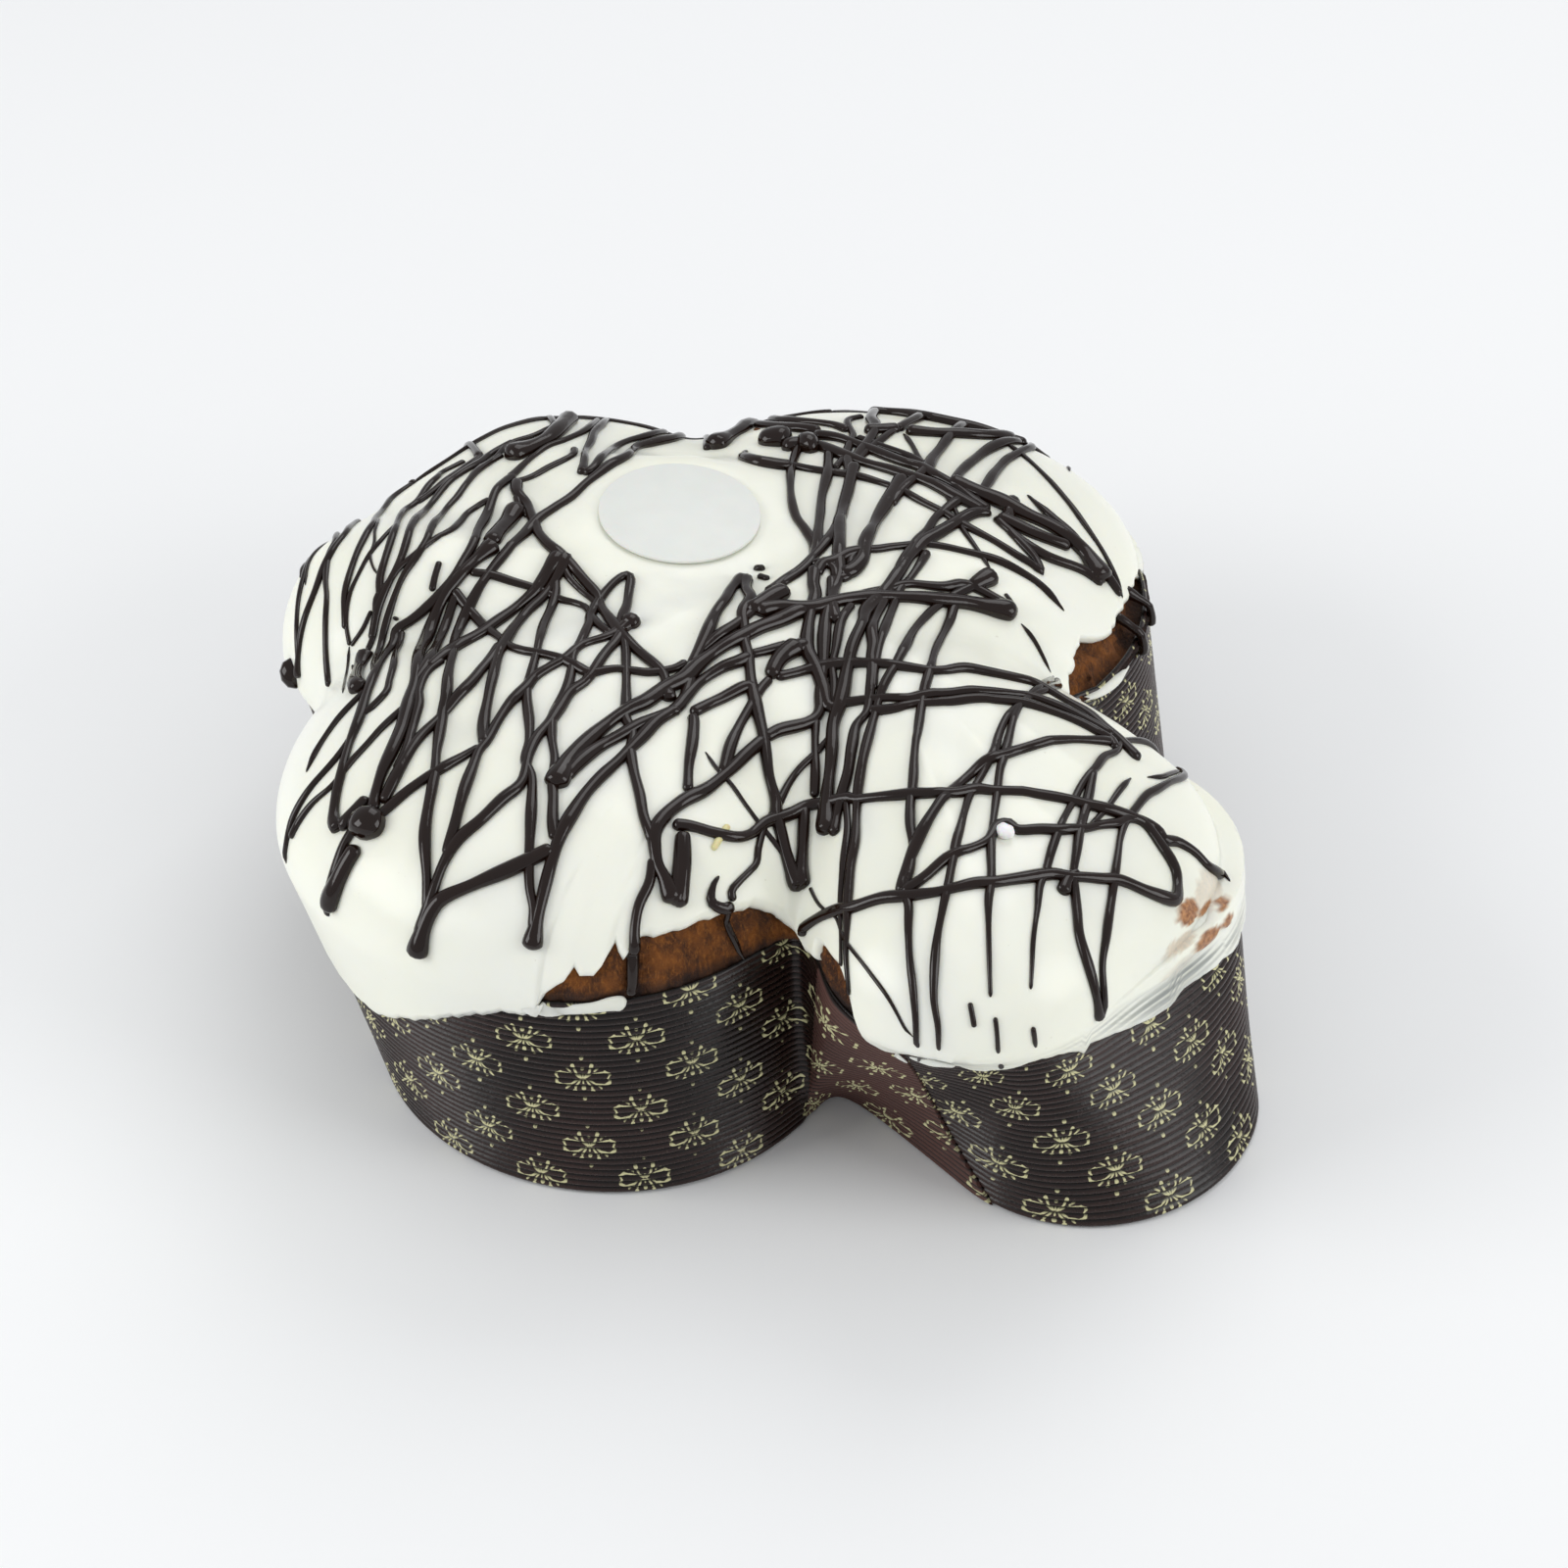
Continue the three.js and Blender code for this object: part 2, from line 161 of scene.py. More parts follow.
def crownAt(x, y):
    weight, total = 0, 0
    for cx, cy, height in dove["crowns"]:
        near = bell(np.hypot(x - cx, y - cy), dove["crownSpread"])
        weight = weight + near
        total = total + near * height
    crown = total / weight
    for sx, sy, spread, share, _ in dove["slumps"]:
        crown = crown * (1 - share * bell(np.hypot(x - sx, y - sy), spread))
    return crown


def waferPlane(x, y):
    (middleX, middleY), (tiltX, tiltY) = wafer["at"], wafer["tilt"]
    return wafer["height"] + tiltX * (x - middleX) + tiltY * (y - middleY)


# Icing's outside above a point in plan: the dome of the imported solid
def domeHeight(x, y):
    setback = 0
    for sx, sy, spread, _, back in dove["slumps"]:
        setback = setback + back * bell(np.hypot(x - sx, y - sy), spread)
    inside = np.maximum(0.02, dove["icingOver"] - outline(dove["rimLobes"], x, y) - setback)
    share = np.clip(inside / dove["crownReach"], 0, 1)
    swell = 0.8 * np.sin(x / 23 + 1.3) * np.sin(y / 27) * np.minimum(1, inside / 20)
    rise = (1 - (1 - share) ** dove["crownSteep"]) ** (1 / dove["crownRound"])
    dome = dove["caseHeight"] + crownAt(x, y) * rise + swell
    away = np.hypot(x - wafer["at"][0], y - wafer["at"][1]) - wafer["radius"] - 1
    flat = waferPlane(x, y) - wafer["bed"]
    return flat + (dome - flat) * smooth(away / wafer["apron"])


def toFrame(points):
    out = np.array(points, float)
    out[..., 0] -= dove["zero"][0]
    out[..., 1] -= dove["zero"][1]
    return out * mm


# Smooth lumpiness from a few plane waves, about -1 to 1, the same on each run
def lumps(points, size, seed, waves=14):
    draw = np.random.default_rng(seed)
    total = 0
    for _ in range(waves):
        way = draw.normal(size=3)
        way = way / np.linalg.norm(way) * (2 * math.pi / size) * draw.uniform(0.7, 1.4)
        total = total + np.sin(points @ way + draw.uniform(0, 2 * math.pi))
    return total / math.sqrt(waves)


# Wall of the case: columns stand on rays from the hub, and lean from the foot to the rim
wall = {
    "columns": 430,
    "ribs": 33,  # flutes of the paper, one above the other
    "ribDepth": 0.85,
    "rowsPerRib": 5,
    "creaseAt": (358.5, 26.0),  # degrees round the hub and height of the dent
    "creaseDeep": 2.2,
    "creasePerDegree": 2.4,  # mm round the head's end
    "creaseWide": 11,
    "creaseSharp": 3.0,
    "creaseTall": 13,
    "lapStart": 314.6,
    "lapEdgeTop": 320.8,  # the strip's end runs slantwise from here
    "lapEdgeFoot": 333.5,
    "lapOver": 0.9,
    "lapThick": 0.6,
    "lapColumns": 46,
    "lapPhase": 240,  # shifts the wander of its flutes
    "sideHeights": (72, 70.5, 66, 55, 40, 20),  # rows of the plain inside
    "unprinted": -40.0,  # height that falls between two rows of ornaments
}


class Wall:
    def __init__(self, angles, closed=True):
        self.angles = angles
        self.foot = ringOf(dove["footLobes"], angles)
        self.rim = ringOf(dove["rimLobes"], angles)
        self.closed = closed
        middle = (self.foot + self.rim) / 2
        ahead = np.roll(middle, -1, 0) - middle
        # mm round the wall
        self.along = np.concatenate([[0], np.cumsum(np.hypot(ahead[:, 0], ahead[:, 1]))])

    # Points of the wall at a height for each column, moved outwards
    def at(self, z, offset):
        share = np.clip(z / dove["caseHeight"], 0, 1)[..., None] * np.ones((len(self.angles), 1))
        plan = self.foot + (self.rim - self.foot) * share
        if self.closed:
            out = normalsOf(plan)
        else:
            ahead = np.gradient(plan, axis=0)
            out = unit(np.stack([ahead[:, 1], -ahead[:, 0]], 1))
        creaseAt, creaseHeight = wall["creaseAt"]
        turn = nearAngle(np.degrees(self.angles), creaseAt) * wall["creasePerDegree"]
        dent = bell(turn, wall["creaseWide"]) * 0.6 + np.exp(-turn / wall["creaseSharp"]) * 0.4
        offset = offset - wall["creaseDeep"] * dent * bell(z - creaseHeight, wall["creaseTall"])
        plan = plan + out * (np.ones(len(self.angles)) * offset)[:, None]
        return np.column_stack([plan, np.ones(len(plan)) * z])


# The flutes wander up and down a little on their way round
def wander(z, along):
    edge = smooth(np.minimum(z, dove["caseHeight"] - z) / 5)
    return edge * (0.25 * np.sin(along / 31) + 0.14 * np.sin(along / 9.5 + 1))


# Round crests with narrow valleys between them
def ribs(z, along):
    phase = math.pi * wall["ribs"] * (z - wander(z, along)) / dove["caseHeight"]
    return wall["ribDepth"] * (np.abs(np.sin(phase)) ** 0.8 - 0.5)


# Points and faces of a closed skin through rings, from an end point to another
def skin(rings, first, last):
    rows, columns = len(rings), len(rings[0])
    points = np.vstack([[first], np.reshape(rings, (-1, 3)), [last]])
    here = np.arange(columns)
    there = (here + 1) % columns
    faces = np.column_stack([np.zeros(columns, int), 1 + there, 1 + here]).tolist()
    for r in range(rows - 1):
        low, high = 1 + r * columns, 1 + (r + 1) * columns
        faces += np.column_stack([low + here, low + there, high + there, high + here]).tolist()
    end = 1 + (rows - 1) * columns
    faces += np.column_stack([np.full(columns, len(points) - 1), end + here, end + there]).tolist()
    return points, faces


def addPiece(name, points, faces, material, slot, nodes, values=None, smoothAngle=None):
    mesh = bpy.data.meshes.new(name)
    mesh.from_pydata(toFrame(points).tolist(), [], faces)
    mesh.validate()
    for label, numbers in (values or {}).items():  # one number for each point, read by the material
        layer = mesh.attributes.new(label, "FLOAT", "POINT")
        layer.data.foreach_set("value", np.asarray(numbers, np.float32))
    mesh.shade_smooth()
    piece = bpy.data.objects.new(name, mesh)
    bpy.context.collection.objects.link(piece)
    if smoothAngle:
        bpy.ops.object.select_all(action="DESELECT")
        piece.select_set(True)
        bpy.context.view_layer.objects.active = piece
        bpy.ops.object.shade_smooth_by_angle(angle=math.radians(smoothAngle))
    return finishPiece(piece, material, nodes)


def finishPiece(piece, material, nodes):
    piece.data.materials.clear()
    piece.data.materials.append(material)
    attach(piece, "root")
    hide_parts(*nodes)
    print(piece.name, len(piece.data.polygons), "faces")
    return piece


# Colours and finishes
def linear(code):
    parts = [int(code[i : i + 2], 16) / 255 for i in (0, 2, 4)]
    return tuple(c / 12.92 if c <= 0.04045 else ((c + 0.055) / 1.055) ** 2.4 for c in parts) + (1,)


# Adds a node: sockets are linked, other parts are set on the node or its input, and one output comes back
def addNode(tree, kind, parts, output=0):
    node = tree.nodes.new("ShaderNode" + kind)
    for name, value in parts.items():
        if isinstance(value, bpy.types.NodeSocket):
            tree.links.new(value, node.inputs[name])
        elif isinstance(name, str) and hasattr(node, name):
            setattr(node, name, value)
        else:
            node.inputs[name].default_value = value
    return node.outputs[output]


def newMaterial(name):
    material = bpy.data.materials.new(name)
    material.use_nodes = True
    material.node_tree.nodes.clear()
    return material, material.node_tree


# Ends a material with its shader
def finishMaterial(material, parts):
    tree = material.node_tree
    shader = addNode(tree, "BsdfPrincipled", parts)
    tree.links.new(shader, tree.nodes.new("ShaderNodeOutputMaterial").inputs["Surface"])
    return material


# Frequency of a pattern whose parts are so many millimetres wide
def every(size):
    return 1 / (size * mm)


# White icing: a poured cover of sugar, cocoa butter and milk, set to a soft gloss.
# Light goes a little way in, so it looks creamy and never chalky.
def makeIcing():
    material, tree = newMaterial("whiteIcing")
    where = addNode(tree, "TexCoord", {}, "Object")
    cloud = addNode(tree, "TexNoise", {"Vector": where, "Scale": every(55), "Detail": 3})
    cloud = addNode(tree, "MapRange", {"Value": cloud, "From Min": 0.35, "From Max": 0.65})
    colours = {"data_type": "RGBA", "Factor": cloud, 6: linear("f3f4e4"), 7: linear("f5f6ea")}
    body = addNode(tree, "Mix", colours, 2)
    speck = addNode(tree, "TexNoise", {"Vector": where, "Scale": every(1.6), "Detail": 1})
    speck = addNode(tree, "MapRange", {"Value": speck, "From Min": 0.78, "From Max": 0.84, "To Max": 0.25})
    film = addNode(tree, "Attribute", {"attribute_name": "paperShow"}, "Fac")
    crumbs = addNode(tree, "Attribute", {"attribute_name": "crustShow"}, "Fac")
    grain = addNode(tree, "TexNoise", {"Vector": where, "Scale": every(1.1), "Detail": 2})
    grain = addNode(tree, "MapRange", {"Value": grain, "From Min": 0.3, "From Max": 0.7})
    colours = {"data_type": "RGBA", "Factor": grain, 6: linear("7a4a28"), 7: linear("bd8755")}
    toasted = addNode(tree, "Mix", colours, 2)
    # Pale specks, dark paper seen through a thin film, and bits of crust
    for share, colour in ((speck, linear("b9b295")), (film, linear("4c5459")), (crumbs, toasted)):
        body = addNode(tree, "Mix", {"data_type": "RGBA", "Factor": share, 6: body, 7: colour}, 2)
    soft = addNode(tree, "TexNoise", {"Vector": where, "Scale": every(9), "Detail": 2})
    soft = addNode(tree, "Bump", {"Height": soft, "Distance": 0.5 * mm, "Strength": 0.5})
    fine = addNode(tree, "TexNoise", {"Vector": where, "Scale": every(0.9), "Detail": 2})
    fine = addNode(tree, "Bump", {"Height": fine, "Distance": 0.04 * mm, "Strength": 0.5, "Normal": soft})
    finish = {"Base Color": body, "Normal": fine, "Roughness": 0.3, "IOR": 1.46}
    finish |= {"Subsurface Weight": 0.35, "Subsurface Scale": 2.5 * mm}
    return finishMaterial(material, finish | {"Subsurface Radius": (1.0, 0.9, 0.7)})


# Dark chocolate: melted and piped, set with a bright skin over a black brown body
def makeChocolate():
    material, tree = newMaterial("darkChocolate")
    where = addNode(tree, "TexCoord", {}, "Object")
    cloud = addNode(tree, "TexNoise", {"Vector": where, "Scale": every(14), "Detail": 3})
    colours = {"data_type": "RGBA", "Factor": cloud, 6: linear("140a06"), 7: linear("20110b")}
    body = addNode(tree, "Mix", colours, 2)
    uneven = addNode(tree, "TexNoise", {"Vector": where, "Scale": every(2.6), "Detail": 2})
    uneven = addNode(tree, "Bump", {"Height": uneven, "Distance": 0.12 * mm, "Strength": 0.5})
    return finishMaterial(material, {"Base Color": body, "Normal": uneven, "Roughness": 0.1, "IOR": 1.42})


# Baked crust: egg dough browned in the oven, matt, with painted highlights and painted shade in its
# strands, folds and notches
def makeCrust():
    material, tree = newMaterial("bakedCrust")
    where = addNode(tree, "TexCoord", {}, "Object")
    bake = addNode(tree, "TexNoise", {"Vector": where, "Scale": every(9), "Detail": 5, "Roughness": 0.65})
    bake = addNode(tree, "MapRange", {"Value": bake, "From Min": 0.38, "From Max": 0.62})
    colours = {"data_type": "RGBA", "Factor": bake, 6: linear("75420f"), 7: linear("3d1e05")}
    body = addNode(tree, "Mix", colours, 2)
    # Crumb that was pulled upwards while it rose shows as short strands: darker streaks along them are
    # painted shade of grooves, paler flecks are painted highlights
    strands = addNode(tree, "Mapping", {"Vector": where, "Scale": (1, 1, 0.26)})
    grooveShade = {"Vector": strands, "Scale": every(2.2), "Detail": 3, "Roughness": 0.6}
    grooveShade = {"Value": addNode(tree, "TexNoise", grooveShade), "From Min": 0.5, "From Max": 0.64, "To Max": 0.6}
    grooveShade = addNode(tree, "MapRange", grooveShade)
    # Pale flecks along the strands: painted highlights
    crustGlints = {"Vector": strands, "Scale": every(0.9), "Detail": 3, "Roughness": 0.7}
    crustGlints = {"Value": addNode(tree, "TexNoise", crustGlints), "From Min": 0.5, "From Max": 0.68, "To Max": 0.65}
    crustGlints = addNode(tree, "MapRange", crustGlints)
    # Painted shade from an attribute of the loaf: in its folds, by the rim and in the notches
    crustShade = addNode(tree, "Attribute", {"attribute_name": "crustShade"}, "Fac")
    for share, code in ((grooveShade, "2c1404"), (crustGlints, "8f5720"), (crustShade, "1f0e07")):
        body = addNode(tree, "Mix", {"data_type": "RGBA", "Factor": share, 6: body, 7: linear(code)}, 2)
    lumpy = {"Vector": where, "Scale": every(3.2), "Detail": 4, "Roughness": 0.65}
    lumpy = {"Height": addNode(tree, "TexNoise", lumpy), "Distance": 1.4 * mm, "Strength": 0.9}
    fine = {"Vector": strands, "Scale": every(0.8), "Detail": 3, "Roughness": 0.6}
    fine = {"Height": addNode(tree, "TexNoise", fine), "Distance": 0.35 * mm, "Strength": 0.9}
    fine = addNode(tree, "Bump", fine | {"Normal": addNode(tree, "Bump", lumpy)})
    finish = {"Base Color": body, "Normal": fine, "Roughness": 0.78, "IOR": 1.4}
    finish |= {"Subsurface Weight": 0.06, "Subsurface Scale": 1.5 * mm}
    return finishMaterial(material, finish | {"Subsurface Radius": (1.0, 0.5, 0.25)})


# Wafer paper: thin starch sheet, smooth and bright with a faint tooth
def makeWafer():
    material, tree = newMaterial("starchWafer")
    where = addNode(tree, "TexCoord", {}, "Object")
    cloud = addNode(tree, "TexNoise", {"Vector": where, "Scale": every(8), "Detail": 3})
    colours = {"data_type": "RGBA", "Factor": cloud, 6: linear("dfe2dc"), 7: linear("e7e9e4")}
    body = addNode(tree, "Mix", colours, 2)
    tooth = addNode(tree, "TexNoise", {"Vector": where, "Scale": every(0.5), "Detail": 3})
    tooth = addNode(tree, "Bump", {"Height": tooth, "Distance": 0.03 * mm, "Strength": 0.5})
    finish = {"Base Color": body, "Normal": tooth, "Roughness": 0.42, "IOR": 1.45}
    return finishMaterial(material, finish | {"Subsurface Weight": 0.15, "Subsurface Scale": 1 * mm})


# Plain sugar or candied peel, each in its own colour, with a grain of crystals
def makeSweet(name, low, high, gloss):
    material, tree = newMaterial(name)
    where = addNode(tree, "TexCoord", {}, "Object")
    cloud = addNode(tree, "TexNoise", {"Vector": where, "Scale": every(1.5), "Detail": 3})
    body = addNode(tree, "Mix", {"data_type": "RGBA", "Factor": cloud, 6: linear(low), 7: linear(high)}, 2)
    grain = addNode(tree, "TexNoise", {"Vector": where, "Scale": every(0.6), "Detail": 2})
    grain = addNode(tree, "Bump", {"Height": grain, "Distance": 0.1 * mm, "Strength": 0.6})
    finish = {"Base Color": body, "Normal": grain, "Roughness": gloss, "IOR": 1.5}
    return finishMaterial(material, finish | {"Subsurface Weight": 0.3, "Subsurface Scale": 1.5 * mm})


ornament = {
    "across": 28.09,  # mm between two ornaments of one row
    "rowHeight": 13.0,
    "under": 1.1,  # mm of the lowest row that the foot cuts off
    # printed lines in one quarter of the ornament: start x, y, end x, y, half width
    "strokes": [
        (0.5, 0.35, 3.0, 1.95, 0.22),
        (3.0, 1.95, 5.5, 2.4, 0.26),
        (5.5, 2.4, 6.6, 1.75, 0.4),
        (6.6, 1.75, 6.75, 1.0, 0.34),
        (6.75, 1.0, 6.2, 0.0, 0.22),
        (0.35, 0.4, 1.5, 2.0, 0.22),
        (1.5, 2.0, 2.1, 3.6, 0.26),
        (2.25, 4.4, 2.35, 4.8, 0.48),
        (0.0, 0.4, 0.0, 1.7, 0.2),
        (0.0, 3.5, 0.0, 3.7, 0.5),
        (3.0, 2.7, 4.45, 3.75, 0.2),
        (14.0, 5.3, 14.0, 5.5, 0.45),  # outer dot of the ornaments in the next row
    ],
}


# How far a point of the ornament's quarter, given as a vector, lies from its printed lines
def printDistance(tree, spot):
    nearest = 99.0
    for ax, ay, bx, by, half in ornament["strokes"]:
        way = Vector((bx - ax, by - ay, 0))
        gone = addNode(tree, "VectorMath", {"operation": "SUBTRACT", 0: spot, 1: (ax, ay, 0)})
        onWay = {"operation": "DOT_PRODUCT", 0: gone, 1: way / way.length_squared}
        share = addNode(tree, "Clamp", {"Value": addNode(tree, "VectorMath", onWay, "Value")})
        foot = addNode(tree, "VectorMath", {"operation": "SCALE", 0: way, "Scale": share})
        away = addNode(tree, "VectorMath", {"operation": "DISTANCE", 0: gone, 1: foot}, "Value")
        away = addNode(tree, "Math", {"operation": "SUBTRACT", 0: away, 1: half})
        nearest = addNode(tree, "Math", {"operation": "MINIMUM", 0: nearest, 1: away})
    return nearest


# Baking paper: dark brown, fluted, with a slight sheen and a pale gold print of small ornaments
def makePaper(name, low, high, gloss, shift):
    material, tree = newMaterial(name)
    across, rowHeight = ornament["across"], ornament["rowHeight"]
    where = addNode(tree, "TexCoord", {}, "Object")
    ridge = addNode(tree, "Attribute", {"attribute_name": "ridge"}, "Fac")
    height = addNode(tree, "Attribute", {"attribute_name": "height"}, "Fac")
    along = addNode(tree, "Attribute", {"attribute_name": "round"}, "Fac")
    # Place in the ornament's cell: each second row is shifted by half a cell
    row = {"operation": "MULTIPLY_ADD", 0: height, 1: 1 / rowHeight, 2: ornament["under"] / rowHeight}
    row = addNode(tree, "Math", row)
    odd = addNode(tree, "Math", {"operation": "FLOOR", 0: row})
    odd = addNode(tree, "Math", {"operation": "MODULO", 0: odd, 1: 2.0})
    cell = addNode(tree, "Math", {"operation": "MULTIPLY_ADD", 0: along, 1: 1 / across, 2: shift / across})
    cell = addNode(tree, "Math", {"operation": "MULTIPLY_ADD", 0: odd, 1: 0.5, 2: cell})
    spot = addNode(tree, "CombineXYZ", {"X": cell, "Y": row})
    spot = addNode(tree, "VectorMath", {"operation": "FRACTION", 0: spot})
    spot = addNode(tree, "VectorMath", {"operation": "SUBTRACT", 0: spot, 1: (0.5, 0.5, 0)})
    spot = addNode(tree, "VectorMath", {"operation": "MULTIPLY", 0: spot, 1: (across, rowHeight, 0)})
    spot = addNode(tree, "VectorMath", {"operation": "ABSOLUTE", 0: spot})
    # The print's edge wavers and its ink is worn in places; it is kept off the valleys of the flutes, which
    # are painted in shade
    wobble = addNode(tree, "TexNoise", {"Vector": where, "Scale": every(1.2), "Detail": 2})
    wobble = addNode(tree, "MapRange", {"Value": wobble, "To Min": -0.175, "To Max": 0.175})
    edge = addNode(tree, "Math", {"operation": "ADD", 0: printDistance(tree, spot), 1: wobble})
    printed = addNode(tree, "MapRange", {"Value": edge, "From Min": 0.07, "From Max": -0.05})
    worn = addNode(tree, "TexNoise", {"Vector": where, "Scale": every(2.2), "Detail": 3, "Roughness": 0.7})
    worn = addNode(tree, "MapRange", {"Value": worn, "From Min": 0.25, "From Max": 0.4})
    # Print only on the crests of the flutes, since their valleys carry painted shade
    unshadedCrest = addNode(tree, "MapRange", {"Value": ridge, "From Min": -0.42, "From Max": -0.15})
    printed = addNode(tree, "Math", {"operation": "MULTIPLY", 0: printed, 1: worn})
    printed = addNode(tree, "Math", {"operation": "MULTIPLY", 0: printed, 1: unshadedCrest})
    cloud = addNode(tree, "TexNoise", {"Vector": where, "Scale": every(30), "Detail": 4})
    cloud = addNode(tree, "MapRange", {"Value": cloud, "From Min": 0.3, "From Max": 0.7})
    body = addNode(tree, "Mix", {"data_type": "RGBA", "Factor": cloud, 6: linear(low), 7: linear(high)}, 2)
    speck = addNode(tree, "TexNoise", {"Vector": where, "Scale": every(0.5), "Detail": 2})
    speck = addNode(tree, "MapRange", {"Value": speck, "From Min": 0.62, "From Max": 0.75, "To Max": 0.2})
    # Painted shade: the narrow valleys of the flutes are darkened nearly to black
    valleyShade = addNode(tree, "MapRange", {"Value": ridge, "From Min": 0.32, "From Max": -0.2, "To Max": 0.9})
    for share, code in ((printed, "cfcb9d"), (speck, "8b7470"), (valleyShade, "040202")):
        body = addNode(tree, "Mix", {"data_type": "RGBA", "Factor": share, 6: body, 7: linear(code)}, 2)
    rough = addNode(tree, "TexNoise", {"Vector": where, "Scale": every(5), "Detail": 4, "Roughness": 0.65})
    rough = addNode(tree, "MapRange", {"Value": rough, "To Min": gloss - 0.12, "To Max": gloss + 0.12})
    creased = {"Vector": where, "Scale": every(3.5), "Detail": 4, "Roughness": 0.6}
    creased = {"Height": addNode(tree, "TexNoise", creased), "Distance": 0.15 * mm, "Strength": 0.8}
    creased = addNode(tree, "Bump", creased)
    fibres = addNode(tree, "TexNoise", {"Vector": where, "Scale": every(0.8), "Detail": 2})
    fibres = {"Height": fibres, "Distance": 0.06 * mm, "Strength": 0.7, "Normal": creased}
    finish = {"Base Color": body, "Normal": addNode(tree, "Bump", fibres), "Roughness": rough, "IOR": 1.4}
    return finishMaterial(material, finish)


paperBrown = makePaper("flutedBakingPaper", "190f0c", "301d19", 0.28, 7.3)
paperBare = makePaper("flutedPaperEnd", "4a302b", "5a3c35", 0.62, 9)
icingWhite = makeIcing()
chocolateDark = makeChocolate()
crustBrown = makeCrust()
print("materials made")


# Paper case: fluted outside, plain inside and floor, all one skin
def makeCase():
    walls = Wall(columnAngles(wall["columns"]))
    along = walls.along[:-1]
    rows = wall["ribs"] * wall["rowsPerRib"] + 1
    outside, ridge, height = [], [], []
    for level in np.linspace(0, dove["caseHeight"], rows):
        z = level + wander(level, along)
        rib = ribs(z, along)
        outside.append(walls.at(z, rib - wall["ribDepth"] * 0.5))
        ridge.append(rib / wall["ribDepth"])
        height.append(z * np.ones(len(along)))
    seam = np.interp(math.radians(wall["lapStart"] + 3), walls.angles, along)
    turned = (along - seam) % walls.along[-1]  # mm along the strip from its start, which the lap hides
    inside = [walls.at(z, -dove["paper"]) for z in (*wall["sideHeights"], dove["paper"])]
    foot, floor = [*dove["hub"], 0], [*dove["hub"], dove["paper"]]
    points, faces = skin(outside + inside, foot, floor)
    plain = np.zeros(len(inside) * len(along) + 1)
    values = {
        "round": np.concatenate([[0], np.tile(turned, rows), plain]),
        "height": np.concatenate([[0], np.ravel(height), plain + wall["unprinted"]]),
        "ridge": np.concatenate([[0], np.ravel(ridge), plain]),
    }
    return addPiece("case_wall", points, faces, paperBrown, "case_paper", ["paper_case"], values, 55)


# End of the paper strip: it laps over the wall on the head's near side and ends in a slant cut edge
def makeLap():
    count = wall["lapColumns"]
    rows = wall["ribs"] * wall["rowsPerRib"] + 1
    outer, inner, around, ridge, heights = [], [], [], [], []
    for level in np.linspace(0, dove["caseHeight"], rows):
        edge = wall["lapEdgeFoot"] + (wall["lapEdgeTop"] - wall["lapEdgeFoot"]) * level / dove["caseHeight"]
        angles = np.radians(np.linspace(wall["lapStart"], edge, count))
        strip = Wall(angles, closed=False)
        rise = smooth((np.degrees(angles) - wall["lapStart"]) / 1.5)
        along = strip.along[:-1] + wall["lapPhase"]
        z = level + wander(level, along)
        rib = ribs(z, along)
        outer.append(strip.at(z, rise * wall["lapOver"] + rib - wall["ribDepth"] * 0.5))
        inner.append(strip.at(z, rise * (wall["lapOver"] - wall["lapThick"]) - 0.5))
        around.append(strip.along[:-1])
        ridge.append(rib / wall["ribDepth"])
        heights.append(z * np.ones(count))
    points = np.vstack([np.reshape(outer, (-1, 3)), np.reshape(inner, (-1, 3))])
    faces, back = [], rows * count
    for r in range(rows - 1):
        for i in range(count - 1):
            a, b = r * count + i, (r + 1) * count + i
            faces.append((a, a + 1, b + 1, b))
            faces.append((back + a, back + b, back + b + 1, back + a + 1))
        a, b = r * count, (r + 1) * count
        faces.append((a, b, back + b, back + a))
        a, b = a + count - 1, b + count - 1
        faces.append((a, back + a, back + b, b))
    top = (rows - 1) * count
    for i in range(count - 1):
        faces.append((i, back + i, back + i + 1, i + 1))
        faces.append((top + i, top + i + 1, back + top + i + 1, back + top + i))
    values = {
        "round": np.tile(np.ravel(around), 2),
        "height": np.tile(np.ravel(heights), 2),
        "ridge": np.tile(np.ravel(ridge), 2),
    }
    return addPiece("case_lap", points, faces, paperBare, "case_paper", ["paper_case"], values, 55)


makeCase()
makeLap()

icing = {
    "columns": 520,
    "rings": (70, 80),
    "fine": 24.0,  # mm over the edge that carry the second, finer rings
    "lip": 2.6,  # mm over which the edge rounds off
    "backRows": (0.5, 3, 8, 14, 20, 28, 36, 45),  # mm inwards from the edge, of the inner face
    "backShares": (0.75, 0.5, 0.25),  # and of what is left up to the hub
    "filmSunk": 1.1,
    "filmFlutes": 0.28,  # share of the flutes' depth that a film shows
    "filmThin": 0.62,  # share of the thickness that a film lacks
    "filmStreaks": 0.75,
    "crumbRise": 0.35,
    "crumbPerDegree": 2.6,  # mm round the head's end
    # degrees, spread and height of a film that shows the flutes
    "thinAt": [(352, 11, 11.0), (277, 8, 3.5), (324, 2.2, 11.0), (230, 14, 2.5)],
    "dents": [(-28, -97, 7, 2.2), (139, -11, 3.4, 3.2), (-113, -70, 6, 2.0)],  # x, y, spread, depth
    "bumps": [(134, -2, 4, 1.3), (143, -4, 3, 1.4), (136, -20, 4, 1.0), (-70, -60, 22, 1.2)],
    # bits of crust that came off in the icing:
    # degrees, mm past the rim, half length, half height, how much shows
    "crumbs": [
        (355.6, -8.6, 4.6, 2.8, 1.0),
        (358.5, -5.5, 3.4, 1.2, 1.0),
        (361, -2, 2.6, 1.6, 1.0),
        (356.5, 2.4, 5.0, 2.2, 1.0),
        (360.3, 3.4, 2.5, 1.6, 1.0),
        (353, -2.4, 6.0, 2.0, 0.4),
        (360.5, -7.5, 8.0, 4.2, 0.3),
        (352, 4, 6.0, 1.5, 0.2),
    ],
}

